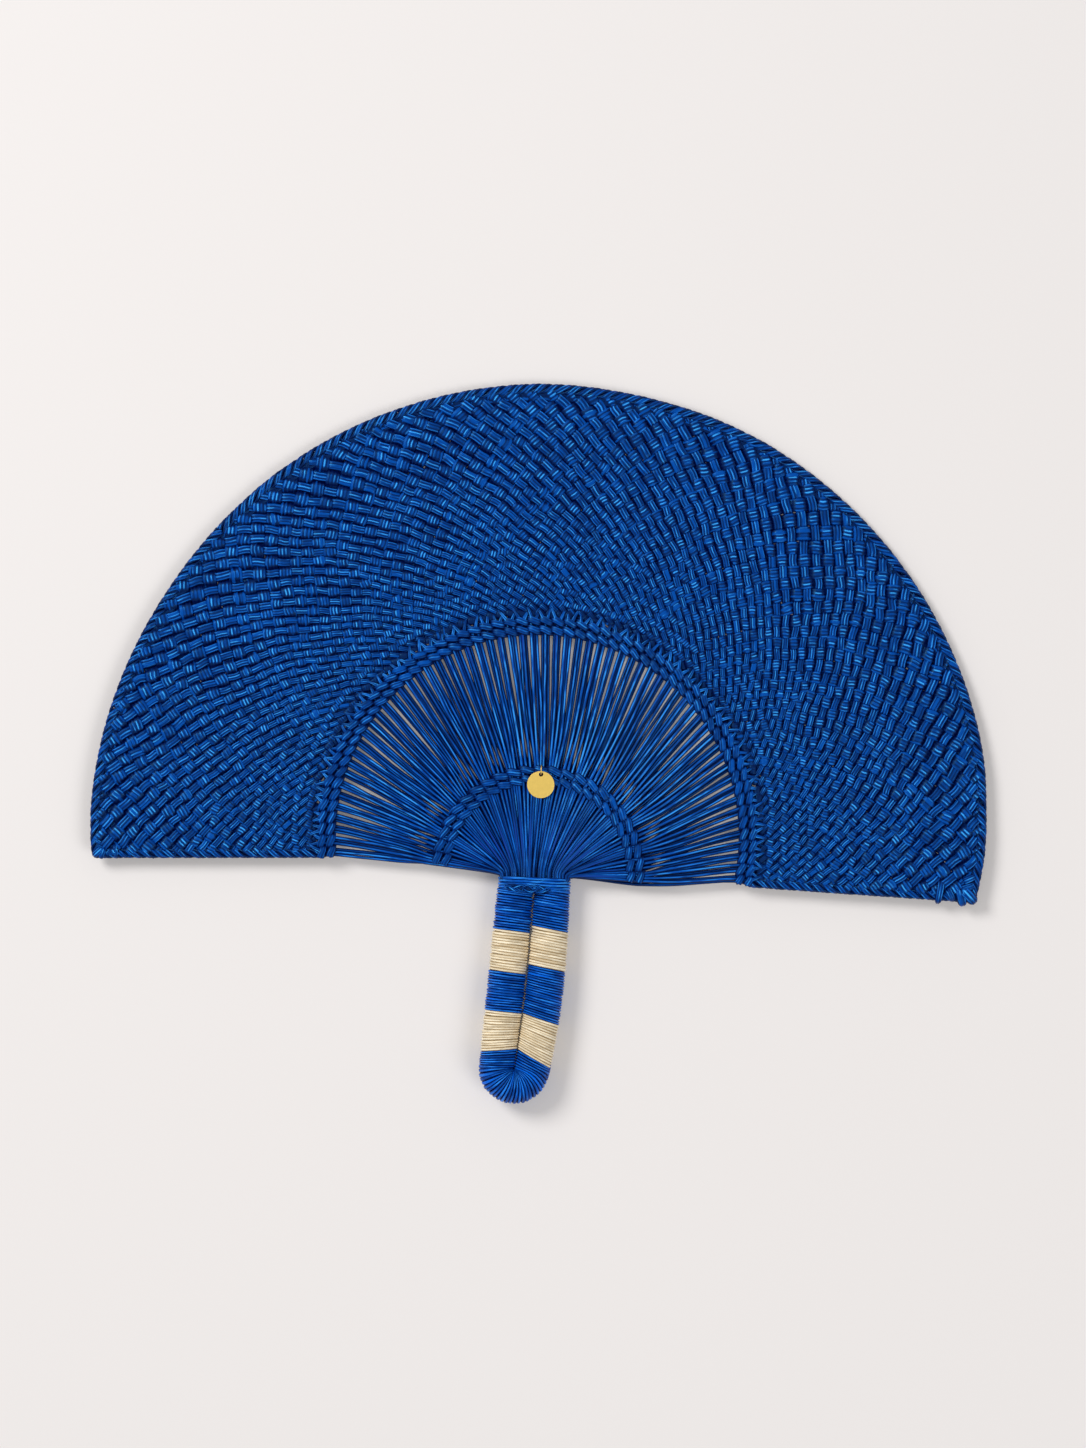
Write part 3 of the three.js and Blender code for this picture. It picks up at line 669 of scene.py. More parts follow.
def raffia_material(name, colours, shine, grain, roughness):
    """Raffia from its groove, body, crest and odd fibre colours: the groove colour is painted shade, and the
    crest colour is a painted highlight.

    shine is the tint and strength of its gloss; grain is how much the streaks along the fibres darken it."""
    found = bpy.data.materials.get(name)
    if found:
        return found
    groove, body, painted_highlight, odd = colours
    material, tree, shader = new_material(name)
    fibres = tree.nodes.new("ShaderNodeGroup")
    fibres.node_tree = fibre_group()
    tree.links.new(read_attribute(tree, "fibre", "Vector"), fibres.inputs["Fibre"])
    painted_light = read_attribute(tree, "painted_light", "Fac")
    streak = fibres.outputs["Streak"]
    toned = mix_colour(tree, fibres.outputs["Tone"], [c * 0.7 for c in body], [c * 1.25 for c in body])
    # Painted highlight: the crest colour is painted along the fibre crests, on the streaks.
    crest = math_node(tree, "MULTIPLY", soft_step(tree, painted_light, 0.7, 1.0), soft_step(tree, streak, 0.25, 0.9))
    toned_with_painted_highlight = mix_colour(tree, crest, toned, painted_highlight)
    grained = soft_step(tree, streak, 0.0, 1.0, 1 - grain)
    # Painted shade: where the painted light is low, in the grooves, the groove colour takes over; the grain
    # streaks darken it too.
    lit = math_node(tree, "MULTIPLY", soft_step(tree, painted_light, 0.45, 0.95), grained)
    painted_shade_and_streaks = mix_colour(tree, lit, groove, toned_with_painted_highlight)
    colour = mix_colour(tree, fibres.outputs["Odd Fibre"], painted_shade_and_streaks, odd)
    tree.links.new(colour, shader.inputs["Base Color"])
    dull = roughness + GROOVE_ROUGHNESS
    tree.links.new(soft_step(tree, streak, 0.0, 1.0, dull, roughness), shader.inputs["Roughness"])
    add_bump(tree, shader, fibres.outputs["Height"], grain, FIBRE_RELIEF)
    shader.inputs["Specular IOR Level"].default_value = shine[1]
    shader.inputs["Specular Tint"].default_value = (*shine[0], 1)
    return material


def dyed_raffia():
    colours = bpy.context.scene.raffia_fan.colours
    painted_highlight = [min(c * 1.3, 1) for c in colours.painted_dye_highlight]
    # The dye's painted shade goes into the grooves, and its painted highlight, made brighter, goes on the
    # crests.
    tones = (colours.painted_dye_shade, colours.dye, painted_highlight, [c * 0.6 for c in colours.dye])
    return raffia_material("DyedRaffia", tones, DYED_SHINE, 0.6, 0.32)


def spoke_raffia():
    """The long fibres of the spokes, of which a few took the dye less evenly."""
    colours = bpy.context.scene.raffia_fan.colours
    # The dye's painted shade goes into the grooves, and its painted highlight goes on the crests.
    tones = (colours.painted_dye_shade, colours.dye, colours.painted_dye_highlight, colours.dye_violet)
    return raffia_material("SpokeRaffia", tones, DYED_SHINE, 0.5, 0.34)


def wrap_raffia():
    """The handle's strands, drawn tight, so that their grooves are shallower."""
    colours = bpy.context.scene.raffia_fan.colours
    body = [1.3 * c for c in colours.dye]
    # Painted highlight on the crests, partly of the dye's highlight blue; the dye's painted shade goes into
    # the grooves.
    painted_highlight = [0.3 * a + 0.7 * b for a, b in zip(body, colours.painted_dye_highlight)]
    return raffia_material("WrapRaffia", (colours.painted_dye_shade, body, painted_highlight, body), WRAP_SHINE, 0.5, 0.4)


def natural_raffia():
    colours = bpy.context.scene.raffia_fan.colours
    body = [0.1 * a + 0.9 * b for a, b in zip(colours.painted_straw_shade, colours.straw)]
    # Painted shade: the deep straw goes into the grooves; the straw itself is painted on the crests as their
    # highlight.
    tones = (colours.painted_straw_shade, body, colours.straw, body)
    return raffia_material("NaturalRaffia", tones, NATURAL_SHINE, 0.3, 0.55)


def core_raffia():
    """The bare rope inside the wraps, which only shows between them."""
    material, tree, shader = new_material("CoreRaffia")
    colours = bpy.context.scene.raffia_fan.colours
    # The core takes random tones between the dye and the dye's painted shade; it only shows in the shade
    # between the wraps.
    colour = mix_colour(tree, object_noise(tree, 700), colours.painted_dye_shade, colours.dye)
    tree.links.new(colour, shader.inputs["Base Color"])
    shader.inputs["Roughness"].default_value = 0.7
    return material


def brass():
    found = bpy.data.materials.get("Brass")
    if found:
        return found
    material, tree, shader = new_material("Brass")
    grain = object_noise(tree, 900, 4)
    colour = bpy.context.scene.raffia_fan.colours.brass
    tarnish = mix_colour(tree, grain, [c * 0.86 for c in colour], colour)
    tree.links.new(tarnish, shader.inputs["Base Color"])
    satin = tree.nodes.new("ShaderNodeMapRange")
    satin.inputs["To Min"].default_value = 0.34
    satin.inputs["To Max"].default_value = 0.5
    tree.links.new(grain, satin.inputs["Value"])
    tree.links.new(satin.outputs["Result"], shader.inputs["Roughness"])
    add_bump(tree, shader, grain, 0.15, 0.02 * MM)
    shader.inputs["Metallic"].default_value = 1.0
    return material


# Woven blade: straight stakes run outwards one way round, and wider wefts pad over every other stake

# Pieces that each family of strands is divided into
BLADE_PARTS = 5


class Weave:
    """The lattice of crossings, from the outer band to the rim.

    A place is found from a and b, its numbers among the stakes and the wefts. Stakes cross the blade
    at one even slant. Wefts leave the band steeper and lie flatter towards the rim."""

    STAKE_SLANT = 1.1
    WEFT_SLANT = 1.07
    WEFT_TURN = 0.46
    SWEEP = 1.5
    RIM_GAP = 1.4 * MM
    BAND_GAP = 2.0 * MM
    EDGE_STRAY = 1.6 * MM
    # Reach from the outer band within which the weave is painted darker, as its shade there
    BAND_SHADE_REACH = 6 * MM

    def __init__(self, settings):
        self.blade = settings.blade
        self.bands = settings.bands
        self.first_angle = -self.blade.corner_angle
        sweep = math.pi + 2 * self.blade.corner_angle
        self.stake_step = sweep / self.blade.stake_count
        self.weft_step = sweep / self.blade.weft_count
        self.outer = self.blade.rim_radius
        self.inner = self.bands.outer_radius + self.bands.row_spacing / 2 + self.BAND_GAP
        self.edges = [(side, *self.selvedge_line(side)) for side in (-1, 1)]

    def selvedge_line(self, side):
        """The corner, and the direction into the sheet square to the selvedge on one side."""
        corner, inner = selvedge_ends(self.blade, self.bands, side)
        along = (corner - inner).normalized()
        return corner, Vector((-along.y, along.x, 0)) * side

    def place(self, a, b):
        apart = b * self.weft_step - a * self.stake_step
        slants = self.STAKE_SLANT + self.WEFT_SLANT
        root = max(slants**2 + 4 * self.WEFT_TURN * apart, 0.01)
        log = (math.sqrt(root) - slants) / (2 * self.WEFT_TURN)
        angle = self.first_angle + a * self.stake_step + self.STAKE_SLANT * log
        return polar(Vector(), self.outer * math.exp(log), angle)

    def stray(self, a, b):
        wide = noise.noise_vector(Vector((a * 0.23, b * 0.23, self.blade.seed)))
        near = noise.noise_vector(Vector((a * 1.3, b * 1.3, self.blade.seed + 9)))
        return wide * self.blade.wander * 2 + near * 0.12

    def inside(self, place):
        if place.length > rim_radius_at(self.blade, math.atan2(place.y, place.x)) - self.RIM_GAP:
            return False
        if self.past_band(place) < self.EDGE_STRAY * noise.noise(place * 150):
            return False
        return self.within_selvedges(place)

    def past_band(self, place):
        return (place - OUTER_BAND_CENTRE).length - self.inner

    def within_selvedges(self, place):
        near = [(corner, inward) for side, corner, inward in self.edges if place.x * side > 0]
        return all((place - corner).dot(inward) > 0 for corner, inward in near)

    def pitch(self, a, b, stake):
        """Distance square across from a strand to its neighbour."""
        here = self.place(a, b)
        beside = self.place(a + 1, b) if stake else self.place(a, b + 1)
        ahead = self.place(a, b + 1) if stake else self.place(a + 1, b)
        along = (ahead - here).normalized()
        return abs((beside - here).cross(along).z)

    def strand(self, number, stake):
        """Stations of one strand: where it lies and its size, over and under at every other crossing."""
        run = []
        own_step, other_step = self.stake_step, self.weft_step
        if not stake:
            own_step, other_step = other_step, own_step
        first = round(number * own_step / other_step)
        depth = math.ceil(self.SWEEP / other_step)
        way = -1 if stake else 1
        for cross in range(first - way, first + depth * way, way):
            over = (cross + number) % 2 == (0 if stake else 1)
            even = self.evenness(self.place(*((number, cross) if stake else (cross, number))))
            dive = 0.5 if stake else 0.43 + 0.05 * even
            flat = dive if over else 1 - dive
            for share in (0.12 - flat, -flat / 2, 0, flat / 2, flat - 0.12, flat):
                along = cross + share * way
                a, b = (number, along) if stake else (along, number)
                stray = self.stray(a, b)
                place = self.place(a + stray.x, b + stray.y)
                if not self.inside(place):
                    if len(run) > 1:
                        return run
                    run.clear()
                    continue
                apart = abs(share) if over else 1 - abs(share)
                level = 1 - 2 * smooth_step(dive - 0.15, dive + 0.15, apart)
                uneven = noise.noise(Vector((number * 3.7, cross * 2.3, 40.0 + stake)))
                width = self.pitch(a, b, stake)
                if stake:
                    fill, rise, exposed = self.stake_form(level, even, uneven)
                else:
                    fill, rise, exposed = self.weft_form(apart, dive, uneven)
                place.z = level * rise * width / 2 * (1 + 0.35 * uneven)
                # Painted shade: the weave is painted darker near the outer band.
                exposed *= 0.4 + 0.6 * smooth_step(0, self.BAND_SHADE_REACH, self.past_band(place))
                run.append(Station(place, width / 2 * fill, exposed))
        return run

    def stake_form(self, level, even, uneven):
        """The share of its pitch that a stake fills, how far it rises, and how open to light it lies: it is
        painted darker where it dives under a weft, as its shade.
        """
        fill = 0.92 - (0.1 - 0.1 * even) * max(level, 0) + 0.06 * uneven
        return fill, self.blade.relief, 0.94 * smooth_step(-1.6, 0.75, level)

    def weft_form(self, apart, dive, uneven):
        """The same of a weft, which arches over its crossing and is painted darker towards where it dives,
        as its shade.
        """
        rise = self.blade.relief * 1.25 * (1 - 0.3 * min(apart / 0.5, 1) ** 2)
        return 1.1 + 0.05 * uneven, rise, 1 - smooth_step(0.2, dive + 0.02, apart)

    def evenness(self, place):
        """How even the two families are here, from 0 to 1: most of all below the crown."""
        turn = math.atan2(place.y, place.x) - math.radians(88)
        near = math.exp(-((turn / 0.62) ** 2))
        patch = noise.noise(place * 22) * 0.5 + 0.5
        return min(max(near * 0.9 + (patch - 0.5) * 0.7, 0), 1)


class RAFFIA_OT_weave(bpy.types.Operator):
    """Weave the blade from stakes and wefts"""

    bl_idname = "raffia_fan.weave"
    bl_label = "Weave Blade"

    def execute(self, context):
        settings = context.scene.raffia_fan
        noise.seed_set(settings.blade.seed)
        weave = Weave(settings)
        for word, stake, count, corners, side_light in (
            ("stakes", True, settings.blade.stake_count, strand_outline(1.0, 0.4, 3, 0.5), 0.0),
            ("wefts", False, settings.blade.weft_count, strand_outline(1.0, 0.32, 4, 0.5), 0.7),
        ):
            spare = count // 4
            runs = [weave.strand(number, stake) for number in range(-spare, count + spare)]
            runs = [run for run in runs if len(run) > 3]
            share = math.ceil(len(runs) / BLADE_PARTS)
            for part in range(BLADE_PARTS):
                name = f"blade_{word}_{part + 1}"
                members = runs[part * share : (part + 1) * share]
                mesh = swept_mesh(name, members, corners, side_light=side_light)
                add_raffia(name, mesh, ["woven_blade"])
        forks = self.forked_runs(settings)
        runs = [run for run in forks if weave.within_selvedges(run[-1].place)]
        mesh = swept_mesh("blade_forks", runs, strand_outline(1.0, 0.5, 2))
        add_raffia("blade_forks", mesh, ["woven_blade"])
        return {"FINISHED"}

    def forked_runs(self, settings):
        """Past the outer band each spoke forks in two, into the stakes and into the wefts."""
        bands = settings.bands
        source = random.Random(settings.blade.seed + 3)
        runs = []
        for spoke in range(bands.spoke_count):
            angle = band_angle(OUTER_BAND_ENDS, spoke, bands.spoke_count)
            for side in (-1, 1):
                slant = source.uniform(0.15, 0.6) * side
                reach = source.uniform(5.5, 9.0) * MM
                start = bands.outer_radius + bands.row_spacing * 0.3
                run = []
                for i in range(9):
                    share = i / 8
                    out = start + reach * share
                    turn = angle - side * 0.5 * MM / start - slant * reach * share**1.3 / start
                    height = (0.6 + 1.4 * math.sin(math.pi * min(share * 1.1, 1)) - 0.9 * share) * MM
                    size = (0.25 + 0.95 * (1 - share) ** 0.7) * source.uniform(0.92, 1.08) * MM
                    # Painted shade: the fork is painted darker as it reaches into the weave.
                    run.append(Station(polar(OUTER_BAND_CENTRE, out, turn, height), size, 1 - 0.2 * share))
                runs.append(run)
        return runs


# Edges: the strands' ends turned into a rope round the rim and along both selvedges

# Length along a rope from one strand's crest to the next
ROPE_BUMP = 5.2 * MM
# The rim's rope changes its hand after this share of the way from the right corner
RIM_TURNED = 0.76
# Size of the folded strands at the left corner, beside the right one's
LEFT_FOLD_SIZE = 0.62

# Strands folded round a corner: in along the selvedge and up the rim, in millimetres, the turn of
# the fold from the selvedge's line, half the width, and the reach inside and outside the edge
FOLDS = (
    (15.0, 0.0, 1.68, 1.8, 8.0, 3.4),
    (9.4, 0.0, 1.05, 1.5, 4.5, 2.2),
    (5.2, 0.2, 1.25, 2.3, 4.4, 4.0),
    (0.0, 9.5, -0.5, 1.7, 6.0, 0.9),
    (0.3, 5.6, -0.4, 1.8, 6.4, 1.2),
    (1.6, 0.8, 0.75, 2.7, 5.2, 4.0),
)


def selvedge_ends(blade, bands, side):
    """The lower corner and the end of the outer band, on one side."""
    angle = math.pi + blade.corner_angle if side < 0 else -blade.corner_angle
    end = OUTER_BAND_ENDS[0] if side < 0 else OUTER_BAND_ENDS[1]
    reach = bands.outer_radius + bands.row_spacing * 0.7
    corner = polar(Vector(), rim_radius_at(blade, angle), angle)
    return corner, polar(OUTER_BAND_CENTRE, reach, end)


def rope_runs(centre_at, length, bump, lay, width, hand, seed):
    """Three flat strands twisted round a centre line, so that one passes the front once every bump."""
    turns = length / (bump * 3)
    steps = int(turns * 20)
    runs = []
    for strand in range(3):
        run = []
        for i in range(steps + 1):
            share = i / steps
            centre, right = centre_at(share)
            uneven = noise.noise(Vector((share * length / MM * 0.1, strand * 5.0, seed)))
            turn = hand * 2 * math.pi * (turns * share + strand / 3) + uneven * 0.6
            place = centre + right * lay * math.cos(turn)
            place.z += 0.6 * lay * math.sin(turn)
            size = width / 2 * (1 + 0.2 * uneven)
            # Painted shade: a strand is painted darker where it turns to the back of the rope.
            exposed = 0.2 + 0.7 * smooth_step(-0.3, 0.7, math.sin(turn))
            run.append(Station(place, size, exposed, math.pi / 2 - turn))
        runs.append(run)
    return runs


def core_run(centre_at, inwards, width):
    """A flat strand under the rope, over which the strands' ends are folded."""
    steps = 160
    run = []
    for i in range(steps + 1):
        centre, right = centre_at(i / steps)
        place = centre + right * inwards
        place.z -= 0.5 * MM
        # Painted shade: the core under the rope is painted darker.
        run.append(Station(place, width / 2, 0.45))
    return run


def folded_runs(corner, inner, side, size, source):
    """Flat strands folded over the edge, one beside the other round a corner of the blade."""
    inwards = (inner - corner).normalized()
    upwards = Vector((-inwards.y, inwards.x, 0)) * -side
    runs = []
    for along, rise, turn, half_width, inside, outside in FOLDS:
        edge = corner + (inwards * along + upwards * rise) * size * MM
        out = -inwards * math.cos(turn) - upwards * math.sin(turn)
        height = source.uniform(3.2, 3.9) * (0.5 + 0.5 * size)
        run = []
        for i in range(17):
            share = i / 16
            place = edge + out * (share * (inside + outside) - inside) * size * MM
            arch = smooth_step(-0.1, 0.35, share) * math.sqrt(max(1 - share**6, 0))
            place.z = (-1.4 + height * arch) * MM
            # Painted shade: a folded strand is painted darker inside the edge and towards its tip.
            exposed = 0.35 + 0.65 * smooth_step(0, 0.3, share) * (1 - 0.5 * share**6)
            run.append(Station(place, half_width * size * math.sqrt(1 - 0.8 * share**8) * MM, exposed))
        runs.append(run)
    return runs


class RAFFIA_OT_edges(bpy.types.Operator):
    """Turn the rim, the selvedges and the corner knots"""

    bl_idname = "raffia_fan.edges"
    bl_label = "Turn Edges"

    def execute(self, context):
        settings = context.scene.raffia_fan
        blade = settings.blade
        corners = strand_outline(1.0, 0.46, 2, groove=0.45)
        sweep = math.pi + 2 * blade.corner_angle
        length = sweep * blade.rim_radius

        def rim_at(share):
            angle = -blade.corner_angle + sweep * share
            out = Vector((math.cos(angle), math.sin(angle), 0))
            radius = rim_radius_at(blade, angle) - 0.5 * MM
            return out * radius + Vector((0, 0, 0.5 * MM * max(out.y, 0))), out

        width = blade.rim_thickness
        rest = 1 - RIM_TURNED
        rope = (ROPE_BUMP, width * 0.36, width * 0.7)
        runs = rope_runs(lambda share: rim_at(share * RIM_TURNED), length * RIM_TURNED, *rope, 1, blade.seed)
        runs += rope_runs(lambda share: rim_at(RIM_TURNED + share * rest), length * rest, *rope, -1, 3)
        runs.append(core_run(rim_at, -0.7 * width, width * 1.3))
        add_raffia("rim_rope", swept_mesh("rim_rope", runs, corners), ["rim_braid"])
        for side, word in ((-1, "left"), (1, "right")):
            corner, inner = selvedge_ends(blade, settings.bands, side)
            along = (inner - corner).normalized()
            right = Vector((along.y, -along.x, 0))

            def selvedge_at(share, corner=corner, inner=inner, right=right):
                return corner.lerp(inner, share), right

            width = blade.selvedge_thickness
            rope = (ROPE_BUMP, width * 0.36, width * 0.76)
            runs = rope_runs(selvedge_at, (inner - corner).length, *rope, -1, side)
            runs.append(core_run(selvedge_at, side * width * 0.6, width * 1.2))
            name = f"selvedge_rope_{word}"
            add_raffia(name, swept_mesh(name, runs, corners), [f"selvedge_{word}"])
            name = f"corner_knot_strands_{word}"
            size = 1.0 if side > 0 else LEFT_FOLD_SIZE
            runs = folded_runs(corner, inner, side, size, random.Random(blade.seed + side))
            mesh = swept_mesh(name, runs, strand_outline(1.0, 0.42, 3, groove=0.45))
            add_raffia(name, mesh, [f"corner_knot_{word}"])
        return {"FINISHED"}


# Spokes: fibres from the neck through the inner band, opening to the outer band and into the weave

# Width over the fibres of a bundle, and the spacing of the fibres in a spoke
BUNDLE_WIDTH = 5.6 * MM
FIBRE_SPACING = 1.24 * MM


def even_place(centre, ends, radius, share, count, height):
    """A place on an arc of evenly spread fibres that reaches half a spoke past both end spokes."""
    return polar(centre, radius, share_between(ends, (share * count - 0.5) / (count - 1)), height)


def fibre_run(settings, spoke, fibre, group, column, columns, layer, source):
    """One fibre: from inside the binding, through its bundle, spread out, and gathered in its spoke."""
    bands = settings.bands
    handle = settings.handle
    neck = (handle.left_top + handle.right_top) / 2
    top = -handle.binding_drop
    share = (spoke * bands.fibres_per_spoke + fibre + 0.5) / (bands.spoke_count * bands.fibres_per_spoke)
    lift = source.uniform(0.15, 1) * (1 if layer else -1)
    # Painted shade: fibres of the lower layer are painted darker, and every fibre a little unevenly.
    shade = source.uniform(0.8, 1) if layer else source.uniform(0.6, 0.9)
    fan = math.pi * (1 - share)
    inner_angle = band_angle(INNER_BAND_ENDS, group, bands.bundle_count)
    inner_across = ((column + 0.75 - 0.5 * layer) / columns - 0.5) * BUNDLE_WIDTH
    outer_angle = band_angle(OUTER_BAND_ENDS, spoke, bands.spoke_count)
    outer_across = (fibre - (bands.fibres_per_spoke - 1) / 2) * FIBRE_SPACING
    depth = 0.2 * MM * (1 if layer else -1) + 0.45 * MM * lift
    edge = bands.row_spacing * 0.9
    inner = (INNER_BAND_CENTRE, INNER_BAND_ENDS, bands.inner_radius + edge)
    outer = (OUTER_BAND_CENTRE, OUTER_BAND_ENDS, bands.outer_radius - edge)
    near = even_place(*inner, share, bands.bundle_count, depth)
    far = even_place(*outer, share, bands.spoke_count, depth)

    def at_neck(reach, up, height):
        """A place by the binding, in millimetres to the side, above its top and off the blade's plane."""
        return Vector((neck + reach * MM * math.cos(fan), top + up * MM, height * MM))

    def in_bundle(out):
        side = Vector((math.sin(inner_angle), -math.cos(inner_angle), 0))
        middle = polar(INNER_BAND_CENTRE, bands.inner_radius + out, inner_angle, depth * 1.7)
        return middle + side * inner_across

    def in_spoke(out):
        side = Vector((math.sin(outer_angle), -math.cos(outer_angle), 0))
        return polar(OUTER_BAND_CENTRE, bands.outer_radius + out, outer_angle, depth) + side * outer_across

    points = [
        at_neck(8, -5, 0.8 + 3.6 * lift),
        at_neck(14.4, -1.6, 1.2 + 3.8 * lift),
        at_neck(17.5, 0.3 + 7.5 * math.sin(fan), 0.8 + 2.4 * lift),
        in_bundle(-edge),
        in_bundle(edge),
        near.lerp(far, 0.36),
        in_spoke(-edge * 1.4),
        in_spoke(edge * 1.2),
    ]
    run = []
    for place in smooth_run(points, 5):
        bow = noise.noise_vector(Vector((place.x * 26, place.y * 26, spoke * 3.7 + fibre * 0.5)))
        reach = (place - INNER_BAND_CENTRE).length
        free = min(max((reach - bands.inner_radius) / (30 * MM), 0), 1)
        free *= min(max((bands.outer_radius - reach) / (10 * MM), 0.3), 1)
        place = place + Vector((bow.x, bow.y, bow.z * 0.3)) * 0.9 * MM * free
        # Painted shade: inside the inner band the fibres are painted darker, the lower layer most.
        gathered = 1 - smooth_step(0.5, 1.2, reach / bands.inner_radius)
        exposed = shade * (1 - (0.12 if layer else 0.45) * gathered)
        run.append(Station(place, 1 + 0.1 * lift + 0.2 * bow.z, exposed))
    return run


class RAFFIA_OT_spokes(bpy.types.Operator):
    """Lay the fibres of the open spokes"""

    bl_idname = "raffia_fan.spokes"
    bl_label = "Lay Spokes"

    def execute(self, context):
        settings = context.scene.raffia_fan
        bands = settings.bands
        noise.seed_set(settings.blade.seed + 1)
        source = random.Random(settings.blade.seed + 1)
        corners = strand_outline(0.75 * MM, 0.48 * MM, 1)
        for group in range(bands.bundle_count):
            first = round(group * bands.spoke_count / bands.bundle_count)
            end = round((group + 1) * bands.spoke_count / bands.bundle_count)
            fibres = range(bands.fibres_per_spoke)
            members = [(spoke, fibre) for spoke in range(first, end) for fibre in fibres]
            columns = (len(members) + 1) // 2
            runs = []
            for i, (spoke, fibre) in enumerate(members):
                runs.append(fibre_run(settings, spoke, fibre, group, i // 2, columns, i % 2, source))
            name = f"spoke_fibres_{group + 1:02d}"
            mesh = swept_mesh(name, runs, corners, falloff=2.0)
            add_raffia(name, mesh, [f"spoke_bundle_{group + 1:02d}"], spoke_raffia)
        return {"FINISHED"}


# Bands: two wefts that cross between all the warps, in two rows


def twined_runs(centre, ends, radius, count, swing, lift, width, seed):
    runs = []
    steps = 10
    for strand in (0, 1):
        run = []
        for i in range(int((count - 0.3) * steps)):
            warp = i / steps - 0.35
            turn = math.pi * (warp + strand)
            angle = band_angle(ends, warp, count)
            uneven = noise.noise(Vector((warp * 0.9, strand * 9.0, seed)))
            crest = math.cos(turn)
            out = radius + swing * math.sin(turn) + uneven * 0.3 * MM
            height = lift * (math.copysign(abs(crest) ** 0.6, crest) + 0.3)
            size = width / 2 * (0.94 + 0.06 * abs(crest) + 0.16 * uneven)
            # Painted shade: a weft is painted darker where it dives behind the warps.
            exposed = 0.88 * smooth_step(-0.6, 0.65, crest)
            run.append(Station(polar(centre, out, angle, height), size, exposed))
        runs.append(run)
    return runs


class RAFFIA_OT_bands(bpy.types.Operator):
    """Twine the inner and the outer band"""

    bl_idname = "raffia_fan.bands"
    bl_label = "Twine Bands"

    def execute(self, context):
        bands = context.scene.raffia_fan.bands
        inner = (INNER_BAND_CENTRE, INNER_BAND_ENDS, bands.inner_radius, bands.bundle_count)
        outer = (OUTER_BAND_CENTRE, OUTER_BAND_ENDS, bands.outer_radius, bands.spoke_count)
        for number, (word, share) in enumerate((("upper", 0.5), ("lower", -0.5))):
            for place, (centre, ends, radius, count), swing, lift, width in (
                ("inner", inner, -0.8 * MM, 1.3 * MM, bands.weft_width * 1.2),
                ("outer", outer, -0.85 * MM, 1.2 * MM, bands.weft_width * 1.18),
            ):
                row = radius + share * bands.row_spacing * 1.12
                seed = number + 10 * (place == "outer")
                runs = twined_runs(centre, ends, row, count, swing, lift, width, seed)
                name = f"{place}_wefts_{word}"
                mesh = swept_mesh(name, runs, strand_outline(1.0, 0.5, 3, groove=0.35))
                add_raffia(name, mesh, [f"{place}_twining_{word}"])
        return {"FINISHED"}


# Handle: windings are wound straight up, then bent along the looped rope


# Where the wraps of each leg end, in millimetres of rope from the neck
LEFT_WRAPS = (5.6, 23.7, 42.2, 60.2, 78.8)
RIGHT_WRAPS = (4.4, 22.6, 40.0, 64.1, 83.3)
# How far the inner side slides along the rope, in millimetres, at the neck and at each end from the
# left leg's second wrap, round the bend, up to the right leg's neck
WRAP_SLIDES = (0, 0, -0.6, -3.5, 6.4, 3.2, 1.0, 0.9, 0)
# Sideways bow of each leg
LEFT_BOW = 0.4
RIGHT_BOW = 1.8


class HandleRope:
    """The centre line of the looped rope, by the length run from the left side of the neck."""

    def __init__(self, handle):
        self.handle = handle
        self.neck = -handle.neck_drop
        self.centre = np.array([handle.bend_side, -handle.bend_drop])
        self.left_top = np.array([handle.left_top, self.neck])
        self.right_top = np.array([handle.right_top, self.neck])
        self.left_angle, self.left_foot = self.foot(self.left_top, -1)
        self.right_angle, self.right_foot = self.foot(self.right_top, 1)
        self.left_length = np.linalg.norm(self.left_foot - self.left_top)
        self.right_length = np.linalg.norm(self.right_foot - self.right_top)
        self.sweep = 2 * math.pi - (self.left_angle - self.right_angle)
        self.bend_length = self.sweep * handle.bend_radius
        self.total = self.left_length + self.bend_length + self.right_length

    def foot(self, top, side):
        """Where a leg meets the bend, and the angle there."""
        to_top = top - self.centre
        spread = math.acos(self.handle.bend_radius / np.linalg.norm(to_top))
        angle = math.atan2(to_top[1], to_top[0]) - side * spread
        reach = np.array([math.cos(angle), math.sin(angle)]) * self.handle.bend_radius
        return angle, self.centre + reach

    def lay(self, places):
        """Bends straight places: z is the run, x points away from the loop, y out of the front."""
        run = places[:, 2]
        bent = np.clip((run - self.left_length) / self.handle.bend_radius, 0, self.sweep)
        angle = self.left_angle + bent
        out = np.stack([np.cos(angle), np.sin(angle)], 1)
        middle = self.centre + out * self.handle.bend_radius
        down = (self.left_foot - self.left_top) / self.left_length
        up = (self.right_top - self.right_foot) / self.right_length
        before = np.minimum(run - self.left_length, 0)
        after = np.maximum(run - self.left_length - self.bend_length, 0)
        middle = middle + before[:, None] * down + after[:, None] * up
        left_bow = np.sin(math.pi * np.clip(run / self.left_length, 0, 1))
        right_bow = np.sin(math.pi * np.clip(after / self.right_length, 0, 1) ** 0.85)
        middle[:, 0] += (LEFT_BOW * left_bow + RIGHT_BOW * right_bow) * MM
        flat = middle + out * places[:, :1] * (1 + 0.05 * left_bow + 0.05 * right_bow)[:, None]
        return np.column_stack([flat, flatter_below(places[:, 1])])


def flatter_below(heights):
    """The handle is pressed flatter on the side it lies on."""
    return np.where(heights > 0, heights, heights * 0.9)


